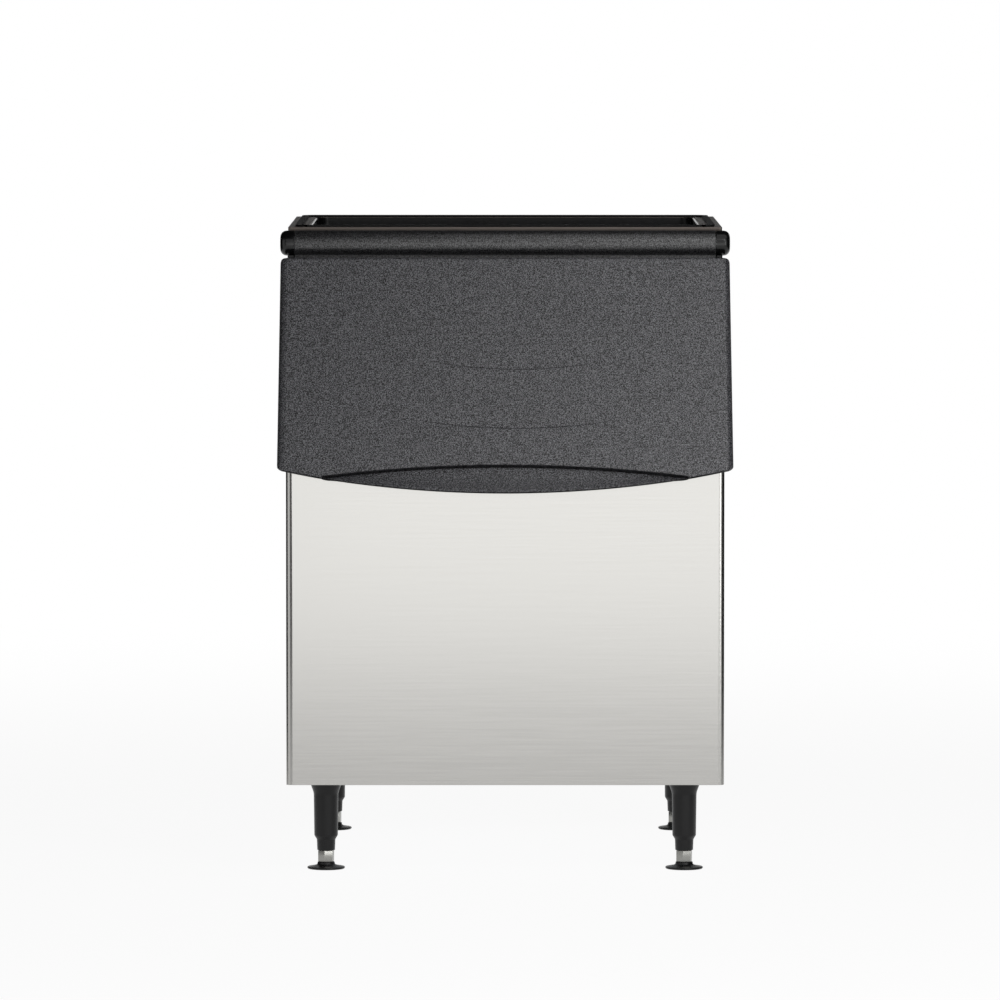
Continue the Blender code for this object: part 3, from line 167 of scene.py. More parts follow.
def brushed_steel(name, light, dark, roughness, line=2.0, length=140.0):
    """Belt-ground sheet: faint level streaks, with their spacing and length in millimetres."""
    finish, tree, shader = start_finish(name, light, 1.0, roughness)
    place = add(tree, "ShaderNodeTexCoord").outputs["Object"]
    stretched = add(tree, "ShaderNodeMapping", {
        "Vector": place, "Scale": (1 / (length * MM), 1 / (length * MM), 1 / (line * MM)),
    })
    streaks = add(tree, "ShaderNodeTexNoise", {
        "Vector": stretched.outputs["Vector"], "Scale": 1.0, "Detail": 3.0, "Roughness": 0.6,
    })
    tone = add(tree, "ShaderNodeMix", {
        0: streaks.outputs["Fac"], 6: colour(dark), 7: colour(light),
    }, data_type="RGBA")
    gloss = add(tree, "ShaderNodeMapRange", {
        "Value": streaks.outputs["Fac"],
        "To Min": roughness - STREAK_SPREAD, "To Max": roughness + STREAK_SPREAD,
    })
    relief = add(tree, "ShaderNodeBump", {
        "Height": streaks.outputs["Fac"], "Strength": 0.06, "Distance": STREAK_DEPTH,
    })
    fill(tree, shader, {
        "Base Color": tone.outputs[2], "Roughness": gloss.outputs["Result"],
        "Normal": relief.outputs["Normal"],
    })
    return finish


stainless = brushed_steel("brushed_stainless_steel", "AFAEAB", "A5A4A1", roughness=0.20)
# The channel is the same stainless; its darker colour is painted shade.
shaded_satin_steel = brushed_steel("shaded_satin_stainless_steel", "726B66", "5C5652", roughness=0.50, line=3.0)
print("steel finishes:", stainless.name, shaded_satin_steel.name)

# %% [markdown]
# ### Grained plastic
#
# The door and its barrel are moulded plastic with a leather-like grain etched into the mould, so that
# scratches don't show. Its pebbles are a little under 2 mm wide. A noise at that size raises the
# surface and lifts the sheen on the crests, where handling polishes them. It also makes the crests far
# lighter than the valleys: partly the grain's own tone, partly painted glints.

# %% Grained plastic
GRAIN = 1.6 * MM
GRAIN_HEIGHT = 0.22 * MM
VALLEY_LEVEL, CREST_AND_GLINT_LEVEL = 0.46, 0.62
DULL_LEVEL, SHINY_LEVEL = 0.40, 0.60
LEAST_SHINE, MOST_SHINE = 0.5, 1.5


def grained_plastic(name, crest_and_glint, valley, roughness, gleam):
    """Moulded plastic with an etched grain, shiny on its crests; their light colour is partly grain,
    partly painted glints.
    """
    finish, tree, shader = start_finish(name, crest_and_glint, 0.0, roughness)
    place = add(tree, "ShaderNodeTexCoord").outputs["Object"]
    pebbles = add(tree, "ShaderNodeTexNoise", {
        "Vector": place, "Scale": 1 / GRAIN, "Detail": 2.0, "Roughness": 0.6,
    })
    # Light crests on dark valleys: partly the grain's own tone, partly painted glints.
    tone = add(tree, "ShaderNodeValToRGB", {"Fac": pebbles.outputs["Fac"]})
    low_stop, high_stop = tone.color_ramp.elements
    low_stop.position, low_stop.color = VALLEY_LEVEL, colour(valley)
    high_stop.position, high_stop.color = CREST_AND_GLINT_LEVEL, colour(crest_and_glint)
    polish = add(tree, "ShaderNodeMapRange", {
        "Value": pebbles.outputs["Fac"], "From Min": DULL_LEVEL, "From Max": SHINY_LEVEL,
        "To Min": LEAST_SHINE * gleam, "To Max": MOST_SHINE * gleam,
    })
    relief = add(tree, "ShaderNodeBump", {
        "Height": pebbles.outputs["Fac"], "Strength": 0.8, "Distance": GRAIN_HEIGHT,
    })
    fill(tree, shader, {
        "Base Color": tone.outputs["Color"], "Specular IOR Level": polish.outputs["Result"],
        "Normal": relief.outputs["Normal"],
    })
    return finish


# The bar is moulded from the door's plastic; its darker colour is painted shade.
shaded_bar_plastic = grained_plastic(
    "shaded_grained_polyethylene_bar", crest_and_glint="4A4A4C", valley="040405", roughness=0.36, gleam=0.7,
)
door_plastic = grained_plastic(
    "grained_polyethylene", crest_and_glint="7A7A7F", valley="020203", roughness=0.46, gleam=0.66,
)
print("grain noise scale:", round(1 / GRAIN))

# %% [markdown]
# ### Smooth black plastic, nylon and rubber
#
# The lining of the opening and the hinge caps come from polished moulds and are almost glossy. The legs
# are glass-filled nylon, a little duller, and the gaskets are matt rubber. All have a very fine
# unevenness, which breaks up their reflections.

# %% Smooth plastics and rubber
RIPPLE_SPREAD = 0.05


def moulded(name, base, roughness, ripple, height, gleam=0.5):
    """Smooth moulded material with a slight unevenness. Sizes are in millimetres."""
    finish, tree, shader = start_finish(name, base, 0.0, roughness)
    place = add(tree, "ShaderNodeTexCoord").outputs["Object"]
    waves = add(tree, "ShaderNodeTexNoise", {
        "Vector": place, "Scale": 1 / (ripple * MM), "Detail": 2.0,
    })
    gloss = add(tree, "ShaderNodeMapRange", {
        "Value": waves.outputs["Fac"],
        "To Min": roughness - RIPPLE_SPREAD, "To Max": roughness + RIPPLE_SPREAD,
    })
    relief = add(tree, "ShaderNodeBump", {
        "Height": waves.outputs["Fac"], "Strength": 0.3, "Distance": height * MM,
    })
    fill(tree, shader, {
        "Specular IOR Level": gleam, "Roughness": gloss.outputs["Result"],
        "Normal": relief.outputs["Normal"],
    })
    return finish


black_plastic = moulded("polished_abs", "0E0E0F", 0.22, ripple=9.0, height=0.05, gleam=0.35)
nylon = moulded("glass_filled_nylon", "0D0D0E", 0.36, ripple=3.0, height=0.06, gleam=0.28)
rubber = moulded("epdm_rubber", "101011", 0.72, ripple=1.5, height=0.10, gleam=0.25)
white_plastic = moulded("white_polyethylene", "E6E9EA", 0.42, ripple=12.0, height=0.10)
print("smooth plastics ready")

# %% [markdown]
# ### Galvanised and zinc-plated steel, and foam
#
# Hot zinc freezes on the back and base sheets in crystals about 10 mm wide, each a slightly different
# grey; a Voronoi pattern has just that look. Screws and stems are plated cold and stay even.
# The foam inside is creamy and full of small cells.

# %% Zinc and foam
CRYSTAL_SPREAD = 0.07
CELL_DEPTH = 0.3 * MM


def crystal_zinc(name, light, dark, roughness, cell):
    """Hot-dip galvanised sheet with zinc crystals this many millimetres wide."""
    finish, tree, shader = start_finish(name, light, 1.0, roughness)
    place = add(tree, "ShaderNodeTexCoord").outputs["Object"]
    crystals = add(tree, "ShaderNodeTexVoronoi", {"Vector": place, "Scale": 1 / (cell * MM)})
    grey = add(tree, "ShaderNodeSeparateColor", {"Color": crystals.outputs["Color"]})
    tone = add(tree, "ShaderNodeMix", {
        0: grey.outputs["Red"], 6: colour(dark), 7: colour(light),
    }, data_type="RGBA")
    gloss = add(tree, "ShaderNodeMapRange", {
        "Value": grey.outputs["Green"],
        "To Min": roughness - CRYSTAL_SPREAD, "To Max": roughness + CRYSTAL_SPREAD,
    })
    fill(tree, shader, {"Base Color": tone.outputs[2], "Roughness": gloss.outputs["Result"]})
    return finish


def foam_finish(name, light, dark, roughness, cell):
    """Cut polyurethane foam with cells this many millimetres wide."""
    finish, tree, shader = start_finish(name, light, 0.0, roughness)
    place = add(tree, "ShaderNodeTexCoord").outputs["Object"]
    cells = add(tree, "ShaderNodeTexVoronoi", {"Vector": place, "Scale": 1 / (cell * MM)})
    tone = add(tree, "ShaderNodeMix", {
        0: cells.outputs["Distance"], 6: colour(dark), 7: colour(light),
    }, data_type="RGBA")
    relief = add(tree, "ShaderNodeBump", {
        "Height": cells.outputs["Distance"], "Strength": 0.5, "Distance": CELL_DEPTH,
    })
    fill(tree, shader, {"Base Color": tone.outputs[2], "Normal": relief.outputs["Normal"]})
    return finish


galvanised = crystal_zinc("galvanised_steel", "BCC0C2", "A4A9AC", roughness=0.42, cell=10.0)
zinc = brushed_steel("zinc_plated_steel", "9A9A96", "888884", 0.28, line=0.8, length=3.0)
foam = foam_finish("polyurethane_foam", "E4D3A2", "BFA66E", roughness=0.9, cell=1.6)
print("zinc and foam ready")

# %% [markdown]
# ## Finishing a shape
#
# Every piece ends the same way: its doubled points are merged, its faces turn outward, flat faces meet
# at crisp edges and round ones are shaded smooth. Then it rides on its body, and the solids of the
# imported model that it stands for are hidden.

# %% Finish and seat a piece
WELD = 0.002 * MM
CRISP = math.radians(32)


def mesh_from(name, bm):
    """A mesh with the faces of a bmesh, which is freed."""
    mesh = bpy.data.meshes.new(name)
    bm.to_mesh(mesh)
    bm.free()
    return mesh


def in_scene(name, data):
    """A new object in the scene for this mesh, lamp or camera."""
    item = bpy.data.objects.new(name, data)
    bpy.context.scene.collection.objects.link(item)
    return item


def seat(name, bm, finish, nodes, crisp=CRISP):
    """Turns a bmesh into a finished piece that stands for these nodes and rides with them."""
    bmesh.ops.remove_doubles(bm, verts=bm.verts, dist=WELD)
    bmesh.ops.recalc_face_normals(bm, faces=bm.faces)
    mesh = mesh_from(name, bm)
    mesh.shade_smooth()
    mesh.set_sharp_from_angle(angle=crisp)
    mesh.materials.append(finish)
    piece = in_scene(name, mesh)
    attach(piece, frame["nodes"][nodes[0]]["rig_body"])
    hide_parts(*nodes)
    return piece


print("weld distance", WELD, "m")

# %% [markdown]
# A real edge is never sharp, and a sheet has two sides. Both could be modelled, but a Bevel and a
# Solidify do it evenly, and even shading keeps flat faces flat to the eye.

# %% Soft edges and sheet thickness
SOFT_ANGLE = math.radians(30)


def even_shading(piece):
    """Lets large faces set the shading of the small ones at their edges."""
    even = piece.modifiers.new("even shading", "WEIGHTED_NORMAL")
    even.keep_sharp = True
    return piece


def soft_edges(piece, radius, segments=3, angle=SOFT_ANGLE):
    """Rounds a piece's hard edges."""
    rounding = piece.modifiers.new("soft edges", "BEVEL")
    rounding.width = radius
    rounding.segments = segments
    rounding.limit_method = "ANGLE"
    rounding.angle_limit = angle
    rounding.use_clamp_overlap = True
    return even_shading(piece)


def thicken(piece, thickness, even_walls=True):
    """Gives a sheet its thickness, grown inward from the outer face."""
    wall = piece.modifiers.new("sheet", "SOLIDIFY")
    wall.thickness = thickness
    wall.offset = -1.0
    wall.use_even_offset = even_walls
    return even_shading(piece)


print("soft edges from", round(math.degrees(SOFT_ANGLE)), "degrees")

# %% [markdown]
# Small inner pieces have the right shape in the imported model, but hard edges. A copy is merged and
# gets round edges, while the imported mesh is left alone.

# %% Copies with soft edges
SAME_PLANE = math.radians(0.5)


def softened(node, finish, radius):
    """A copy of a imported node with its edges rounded."""
    bm = bmesh.new()
    bm.from_mesh(frame["nodes"][node].data)
    bmesh.ops.remove_doubles(bm, verts=bm.verts, dist=WELD)
    bmesh.ops.dissolve_limit(bm, angle_limit=SAME_PLANE, verts=bm.verts, edges=bm.edges)
    piece = seat(f"{node}_finished", bm, finish, [node])
    return soft_edges(piece, radius, segments=2)


SOFTENED = [
    ("throat_trim", black_plastic, "black_plastic", 0.6 * MM),
    ("liner", white_plastic, "white_polyethylene", 0.8 * MM),
    ("door_inner_panel", white_plastic, "white_polyethylene", 0.8 * MM),
    ("door_gasket", rubber, "black_rubber", 0.5 * MM),
    ("baffle", stainless, "brushed_stainless", 0.4 * MM),
    ("back_panel", galvanised, "galvanised_steel", 0.2 * MM),
    ("base_pan", galvanised, "galvanised_steel", 0.2 * MM),
]
for node, finish, slot, radius in SOFTENED:
    softened(node, finish, radius)
print("softened", len(SOFTENED), "nodes")

# %% [markdown]
# ## The cabinet's outer sheet
#
# One sheet of stainless is folded round the front and both sides. Its front corners are rolled to a
# radius of 9.5 mm, with a shallow crease beside each where the rolling starts, and 14 mm flanges are
# turned in at the top, the bottom and the back. It could be drawn as a flat blank and folded, but a box
# is quicker: its top, bottom and back faces are inset by the flange and opened, its upright corners are
# bevelled, and planes along the throat cut it away.

# %% A box, its faces, cuts and round corners
FACING = 0.99
FOLD_ANGLE = math.radians(60)


def box_between(low, high):
    """A closed box between two corners."""
    bm = bmesh.new()
    bmesh.ops.create_cube(bm, size=1.0)
    bmesh.ops.scale(bm, vec=Vector(high) - Vector(low), verts=bm.verts)
    bmesh.ops.translate(bm, vec=(Vector(high) + Vector(low)) / 2, verts=bm.verts)
    return bm


def faces_towards(bm, direction):
    """The faces that point this way, to within a few degrees."""
    bmesh.ops.recalc_face_normals(bm, faces=bm.faces)
    return [face for face in bm.faces if face.normal.dot(Vector(direction)) > FACING]


def slice_at(bm, point, normal):
    """Cuts every face that a plane crosses in two, and takes nothing away."""
    whole = list(bm.verts) + list(bm.edges) + list(bm.faces)
    bmesh.ops.bisect_plane(bm, geom=whole, plane_co=point, plane_no=normal, dist=WELD)


def bevelled(bm, geom, radius, segments, affect="EDGES", clamp=False):
    """Rounds these edges or points with arcs of this many segments."""
    bmesh.ops.bevel(
        bm, geom=geom, offset=radius, offset_type="OFFSET", segments=segments,
        profile=0.5, affect=affect, clamp_overlap=clamp, material=-1,
    )


def round_upright(bm, radius, segments, test):
    """Bevels the upright edges whose middle passes a test."""
    chosen = []
    for edge in bm.edges:
        start, end = (vert.co for vert in edge.verts)
        if (start - end).xy.length < WELD and test((start + end) / 2):
            chosen.append(edge)
    bevelled(bm, chosen, radius, segments)


def round_folds(bm, radius):
    """Bevels every edge where two faces of a sheet meet at an angle."""
    bmesh.ops.recalc_face_normals(bm, faces=bm.faces)
    shared = [edge for edge in bm.edges if len(edge.link_faces) == 2]
    folds = [edge for edge in shared if edge.calc_face_angle() > FOLD_ANGLE]
    bevelled(bm, folds, radius, segments=3, clamp=True)


def open_with_flange(bm, direction, flange):
    """Insets the face that points this way and opens it, which leaves a turned-in flange."""
    face = faces_towards(bm, direction)
    bmesh.ops.inset_individual(bm, faces=face, thickness=flange, use_even_offset=True)
    bmesh.ops.delete(bm, geom=face, context="FACES")


print("folds turn over", round(math.degrees(FOLD_ANGLE)), "degrees")

# %% The folded box
SHEET = 0.9 * MM
FLANGE = 14 * MM
FRONT_RADIUS = 9.5 * MM
BACK_RADIUS = 3 * MM
CREASE_RUN = 1.6 * MM
CREASE_DEPTH = 0.45 * MM
cabinet = box_between(wrap_low, wrap_high)
for direction in ((0, 0, 1), (0, 0, -1), (0, 1, 0)):
    open_with_flange(cabinet, direction, FLANGE)
on_side = half_width - WELD
round_upright(
    cabinet, FRONT_RADIUS, segments=8,
    test=lambda at: abs(at.x) > on_side and at.y < front_y + WELD,
)
crease_end = half_width - FRONT_RADIUS
for side in (-1, 1):
    slice_at(cabinet, (side * (crease_end - CREASE_RUN), 0, 0), (1, 0, 0))
for vert in cabinet.verts:
    behind = vert.co.y - front_y
    if abs(vert.co.x) > crease_end - WELD and behind < FRONT_RADIUS:
        vert.co.y += CREASE_DEPTH * (1 - behind / FRONT_RADIUS)
round_upright(
    cabinet, BACK_RADIUS, segments=4,
    test=lambda at: abs(at.x) > on_side and at.y > wrap_high.y - WELD,
)
print("folded box has", len(cabinet.faces), "faces")

# %% [markdown]
# The sheet stops where the slanted throat begins; on the real blank this is a stamped cut. Here three
# planes slice the box: the door's slope, the ledge under the hinge caps and the riser before the deck.
# Faces on the throat's side are taken away, and then every fold is rounded at once.

# %% The throat's cut
TRIM = 3.3 * MM
THROAT_SETBACK = 12 * MM
FOLD_RADIUS = 1.6 * MM
SHEET_CRISP = math.radians(13)
trim_face = Vector((0, hinge_y, hinge_z)) - slope_out * (THROAT_SETBACK + TRIM)
ledge_cut = cap_low.z - SEAT_GAP - TRIM
riser_cut = deck_y + TRIM


def in_throat(at):
    """Whether a point lies in the space that the throat and the hinge take out of the cabinet."""
    above = at.z > ledge_cut or (at - trim_face).dot(slope_out) > 0
    return at.y < riser_cut and above


slice_at(cabinet, trim_face, slope_out)
slice_at(cabinet, (0, 0, ledge_cut), (0, 0, 1))
slice_at(cabinet, (0, riser_cut, 0), (0, 1, 0))
gone = [face for face in cabinet.faces if in_throat(face.calc_center_median())]
bmesh.ops.delete(cabinet, geom=gone, context="FACES")
round_folds(cabinet, FOLD_RADIUS)
cabinet_sheet = seat(
    "cabinet_sheet", cabinet, stainless, ["outer_wrap"], SHEET_CRISP,
)
thicken(cabinet_sheet, SHEET)
print("cabinet sheet has", len(cabinet_sheet.data.polygons), "faces, cut at", round(ledge_cut, 4))

# %% [markdown]
# ## The top frame, its gasket and the collar
#
# The ice machine stands on a folded steel channel round the opening. Its outer and inner walls are
# turned down 8 mm. A box without a floor, inset by the width of the rail and pushed down in the middle,
# gives both walls at once. The soft strip on it and the lining of the opening are plain rings.

# %% The top frame
RAIL = 36 * MM
RAIL_SHEET = 1.2 * MM
RAIL_FOLD = 1.3 * MM
OUTER_RADIUS = 4 * MM
INNER_RADIUS = 25 * MM
rail = box_between(frame_low, frame_high)
bmesh.ops.delete(rail, geom=faces_towards(rail, (0, 0, -1)), context="FACES_ONLY")
middle = faces_towards(rail, (0, 0, 1))
bmesh.ops.inset_individual(rail, faces=middle, thickness=RAIL, use_even_offset=True)
sunk = bmesh.ops.extrude_face_region(rail, geom=middle)["geom"]
sunk_verts = [item for item in sunk if isinstance(item, bmesh.types.BMVert)]
sunk_faces = [item for item in sunk if isinstance(item, bmesh.types.BMFace)]
bmesh.ops.translate(rail, vec=(0, 0, frame_low.z - frame_high.z), verts=sunk_verts)
bmesh.ops.delete(rail, geom=middle + sunk_faces, context="FACES")
round_upright(rail, OUTER_RADIUS, segments=5, test=lambda at: abs(at.x) > on_side)
round_upright(
    rail, INNER_RADIUS, segments=10, test=lambda at: abs(at.x) < half_width - RAIL + WELD,
)
round_folds(rail, RAIL_FOLD)
top_rail = seat("top_rail", rail, shaded_satin_steel, ["top_frame"])
thicken(top_rail, RAIL_SHEET)
print("top rail has", len(top_rail.data.polygons), "faces")

# %% Rings: the machine's gasket and the collar
GASKET_WIDTH = 12 * MM
GASKET_EDGE = 1.2 * MM
COLLAR_WALL = 3.5 * MM
COLLAR_REVEAL = 0.9 * MM
COLLAR_EDGE = 0.8 * MM


def ring_block(low, high, width, outer_radius, inner_radius):
    """A closed rectangular ring with rounded corners."""
    bm = box_between(low, high)
    middle = [*faces_towards(bm, (0, 0, 1)), *faces_towards(bm, (0, 0, -1))]
    bmesh.ops.inset_individual(bm, faces=middle, thickness=width, use_even_offset=True)
    rims = [edge for face in middle for edge in face.edges]
    bmesh.ops.delete(bm, geom=middle, context="FACES_ONLY")
    bmesh.ops.bridge_loops(bm, edges=rims)
    inner_half = high[0] - width + WELD
    round_upright(bm, outer_radius, segments=10, test=lambda at: abs(at.x) > inner_half)
    round_upright(bm, inner_radius, segments=10, test=lambda at: abs(at.x) < inner_half)
    return bm


strip = ring_block(
    gasket_low, gasket_high, GASKET_WIDTH, INNER_RADIUS, INNER_RADIUS - GASKET_WIDTH,
)
sealing_strip = seat("sealing_strip", strip, rubber, ["machine_gasket"])
soft_edges(sealing_strip, GASKET_EDGE)

collar_inset = RAIL + COLLAR_REVEAL
lining = ring_block(
    (-half_width + collar_inset, deck_y + collar_inset, collar_low.z),
    (half_width - collar_inset, back_y - collar_inset, collar_high.z),
    COLLAR_WALL, INNER_RADIUS + COLLAR_WALL, INNER_RADIUS,
)
opening_collar = seat("opening_collar", lining, black_plastic, ["top_collar"])
soft_edges(opening_collar, COLLAR_EDGE)
print("collar wall from", round(collar_low.z, 4), "to", round(collar_high.z, 4))

# %% [markdown]
# ## Turned pieces
#
# Legs, feet, caps and the bar are round, so each is half a profile spun about its own line. A profile
# point may carry a radius, which becomes a short arc, as a lathe tool's tip leaves.

# %% Spin a profile
def spun(profile, sides=64, closed=False):
    """Spins a profile of (radius, height) points, or (radius, height, rounding), about Z."""
    bm = bmesh.new()
    verts = [bm.verts.new((point[0], 0, point[1])) for point in profile]
    pairs = list(zip(verts, verts[1:]))
    if closed:
        pairs.append((verts[-1], verts[0]))
    for pair in pairs:
        bm.edges.new(pair)
    for vert, point in zip(verts, profile):
        if len(point) == 3:
            bevelled(bm, [vert], point[2], segments=4, affect="VERTICES")
    bmesh.ops.spin(
        bm, geom=list(bm.verts) + list(bm.edges), cent=(0, 0, 0), axis=(0, 0, 1),
        angle=2 * math.pi, steps=sides, use_merge=True,
    )
    bmesh.ops.remove_doubles(bm, verts=bm.verts, dist=WELD)
    return bm


def put(bm, matrix):
    """Moves or turns a whole bmesh."""
    bmesh.ops.transform(bm, matrix=matrix, verts=bm.verts)
    return bm


def merged(shapes):
    """Several shapes in one bmesh."""
    whole = bmesh.new()
    for shape in shapes:
        mesh = mesh_from("shape", shape)
        whole.from_mesh(mesh)
        bpy.data.meshes.remove(mesh)
    return whole


def middle_of(node):
    """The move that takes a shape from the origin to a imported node's middle, on the ground."""
    low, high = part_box(node)
    return Matrix.Translation(((low.x + high.x) / 2, (low.y + high.y) / 2, 0))


print("a spun ring has", len(spun([(1, 0), (2, 0), (2, 1), (1, 1)], 32, True).faces), "faces")

# %% [markdown]
# ## Legs and levelling feet
#
# Each leg is a black nylon sleeve that flares where it meets the cabinet, tapers a little and ends in
# a narrower neck. The foot's steel stem screws up into it, with a hexagon for the wrench, and turns in
# a round pad with a raised hub.

# %% Legs
STUB_RADIUS = 6 * MM
FLARE_RADIUS = 28.3 * MM
FLARE_DRAFT = 0.2 * MM
FLARE_RIM = 2 * MM
FLARE_HEIGHT = 20 * MM
SLEEVE_RADIUS = 21.5 * MM
WAIST_RADIUS = 20.6 * MM
WAIST_RISE = 7 * MM
NECK_RADIUS = 16.2 * MM
NECK_END = 15.5 * MM
NECK_HEIGHT = 19 * MM
LEG_BORE = 8.3 * MM
LEG_BORE_DEPTH = 56 * MM
LEG_SPOTS = [
    name.removeprefix("leg_") for name in sorted(frame["nodes"])
    if name.startswith("leg_") and "nut" not in name
]
leg_low, leg_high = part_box("leg_front_left")
sleeve_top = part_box("base_pan")[0].z - SEAT_GAP
neck_top = leg_low.z + NECK_HEIGHT
bore_top = leg_low.z + LEG_BORE_DEPTH
LEG_PROFILE = [
    (0, leg_high.z), (STUB_RADIUS, leg_high.z), (STUB_RADIUS, sleeve_top),
    (FLARE_RADIUS, sleeve_top, 0.5 * MM),
    (FLARE_RADIUS - FLARE_DRAFT, sleeve_top - FLARE_RIM, 1 * MM),
    (SLEEVE_RADIUS, sleeve_top - FLARE_HEIGHT, 4 * MM),
    (WAIST_RADIUS, neck_top + WAIST_RISE, 1.5 * MM),
    (NECK_RADIUS, neck_top, 1.5 * MM), (NECK_END, leg_low.z, 0.8 * MM),
    (LEG_BORE, leg_low.z), (LEG_BORE, bore_top), (0, bore_top),
]
for spot in LEG_SPOTS:
    sleeve = put(spun(LEG_PROFILE), middle_of(f"leg_{spot}"))
    seat(f"sleeve_{spot}", sleeve, nylon, [f"leg_{spot}"])
print("legs at", LEG_SPOTS)

# %% The pad's profile
PAD_BASE = 31.5 * MM
PAD_RADIUS = 32.9 * MM
DISH_RADIUS = 21 * MM
HUB_FOOT = 15.6 * MM
HUB_RADIUS = 14.75 * MM
SOCKET_RADIUS = 6.3 * MM
pad_low, pad_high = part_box("foot_pad_front_left")
stem_low, stem_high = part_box("foot_stem_front_left")
socket_floor = stem_low.z - SEAT_GAP
PAD_PROFILE = [
    (0, 0), (PAD_BASE, 0, 0.6 * MM),
    (PAD_RADIUS, 1.6 * MM, 0.6 * MM), (PAD_RADIUS, 3.6 * MM, 1.2 * MM),
    (DISH_RADIUS, 5.6 * MM, 3 * MM), (HUB_FOOT, 7.6 * MM, 1.5 * MM),
    (HUB_RADIUS, pad_high.z, 0.8 * MM),
    (SOCKET_RADIUS, pad_high.z), (SOCKET_RADIUS, socket_floor), (0, socket_floor),
]
print("pads", round(pad_high.z - pad_low.z, 4), "m high")

# %% Pads and stems
HEX_REACH = 14.75 * MM
HEX_HEIGHT = 20 * MM
HEX_TURN = math.radians(20)
HEX_EDGE = 1 * MM
RIM_ANGLE = math.radians(80)
THREAD_ROOT = 7.2 * MM
THREAD_CREST = 8 * MM
PITCH = 2 * MM
SPIGOT_RADIUS = 6 * MM
OVERLAP = 1 * MM
hex_low = pad_high.z + SEAT_GAP
hex_high = hex_low + HEX_HEIGHT
thread_top = stem_high.z


def rod(radius, low, high, sides):
    """A solid round, or many-sided, rod about Z."""
    return spun([(0, low), (radius, low), (radius, high), (0, high)], sides)


def stem_shape():
    """Hexagon, threaded rod and the spigot in the pad."""
    nut = put(rod(HEX_REACH, hex_low, hex_high, sides=6), Matrix.Rotation(HEX_TURN, 4, "Z"))
    rim = [edge for edge in nut.edges if abs(edge.calc_face_angle(0)) > RIM_ANGLE]
    bevelled(nut, rim, HEX_EDGE, segments=2)
    thread = [(0, hex_high - OVERLAP), (THREAD_ROOT, hex_high - OVERLAP)]
    for turn in range(int((thread_top - hex_high) / PITCH)):
        start = hex_high + turn * PITCH
        thread += [(THREAD_ROOT, start), (THREAD_CREST, start + PITCH / 2)]
    thread += [(THREAD_ROOT, thread_top), (0, thread_top)]
    spigot = rod(SPIGOT_RADIUS, stem_low.z, hex_low + OVERLAP, sides=32)
    return merged([nut, spun(thread, sides=32), spigot])


for spot in LEG_SPOTS:
    middle = middle_of(f"foot_pad_{spot}")
    pad, stem = put(spun(PAD_PROFILE), middle), put(stem_shape(), middle)
    seat(f"pad_{spot}", pad, nylon, [f"foot_pad_{spot}"])
    seat(f"stem_{spot}", stem, zinc, [f"foot_stem_{spot}"])
print("stem from", round(stem_low.z, 4), "to", round(thread_top, 4))

# %% [markdown]
# ## The hinge line
#
# The door is built round the tongue of a long round bar, which turns between two fixed black caps. The
# bar is a tube with a flat tongue behind it. Each cap is a short round end with a domed rim, on a post
# and a foot that is screwed to the ledge.

# %% The barrel
BARREL_RADIUS = 22 * MM
BARREL_EDGE = 0.8 * MM
BORE_RADIUS = 7.5 * MM
TONGUE_REACH = 60 * MM
TONGUE_TOP = -1 * MM
TONGUE_UNDERSIDE = -3.2 * MM
TONGUE_ROOT = 2 * MM
tube = spun([
    (BORE_RADIUS, -barrel_half), (BARREL_RADIUS, -barrel_half, BARREL_EDGE),
    (BARREL_RADIUS, barrel_half, BARREL_EDGE), (BORE_RADIUS, barrel_half),
], sides=96, closed=True)
put(tube, Matrix.Rotation(math.pi / 2, 4, "Y"))
tongue = box_between(
    (-barrel_half, -TONGUE_REACH, TONGUE_UNDERSIDE),
    (barrel_half, -BARREL_RADIUS + TONGUE_ROOT, TONGUE_TOP),
)
barrel = put(merged([tube, tongue]), stand_door)
seat("hinge_bar", barrel, shaded_bar_plastic, ["hinge_barrel"])
print("hinge bar", round(2 * barrel_half, 4), "m long")

# %% The hinge caps
CAP_WIDTH = 24 * MM
CAP_RIM = 11 * MM
CAP_BORE = 5.3 * MM
CAP_BORE_DEPTH = 16 * MM
CAP_EDGE = 0.6 * MM
CAP_SOFT_ANGLE = math.radians(60)
POST_WIDTH = 10.7 * MM
POST_DROP = 10 * MM
FOOT_LENGTH = 46 * MM
FOOT_THICKNESS = 4 * MM
FOOT_SETBACK = 2 * MM
foot_front = hinge_y + FOOT_SETBACK
foot_back = deck_y - SEAT_GAP


def cap_shape(side):
    """A cap with its post and foot; side is -1 for the left and 1 for the right."""
    round_end = spun([
        (0, CAP_BORE_DEPTH), (CAP_BORE, CAP_BORE_DEPTH), (CAP_BORE, 0),
        (BARREL_RADIUS, 0, 0.5 * MM), (BARREL_RADIUS, CAP_WIDTH, CAP_RIM), (0, CAP_WIDTH),
    ], sides=96)
    put(round_end, Matrix.Rotation(side * math.pi / 2, 4, "Y"))
    put(round_end, Matrix.Translation((side * (cap_high.x - CAP_WIDTH), hinge_y, hinge_z)))
    shapes = [round_end]
    for width, top in (
        (POST_WIDTH, hinge_z - POST_DROP), (FOOT_LENGTH, cap_low.z + FOOT_THICKNESS),
    ):
        low = (half_width - width, foot_front, cap_low.z)
        block = box_between(low, (half_width, foot_back, top))
        bmesh.ops.scale(block, vec=(side, 1, 1), verts=block.verts)
        shapes.append(block)
    return merged(shapes)


for side, word in ((-1, "left"), (1, "right")):
    shape, node = cap_shape(side), f"hinge_cap_{word}"
    cap = seat(f"end_cap_{word}", shape, black_plastic, [node])
    soft_edges(cap, CAP_EDGE, angle=CAP_SOFT_ANGLE)
print("caps reach", round(cap_high.x, 4))

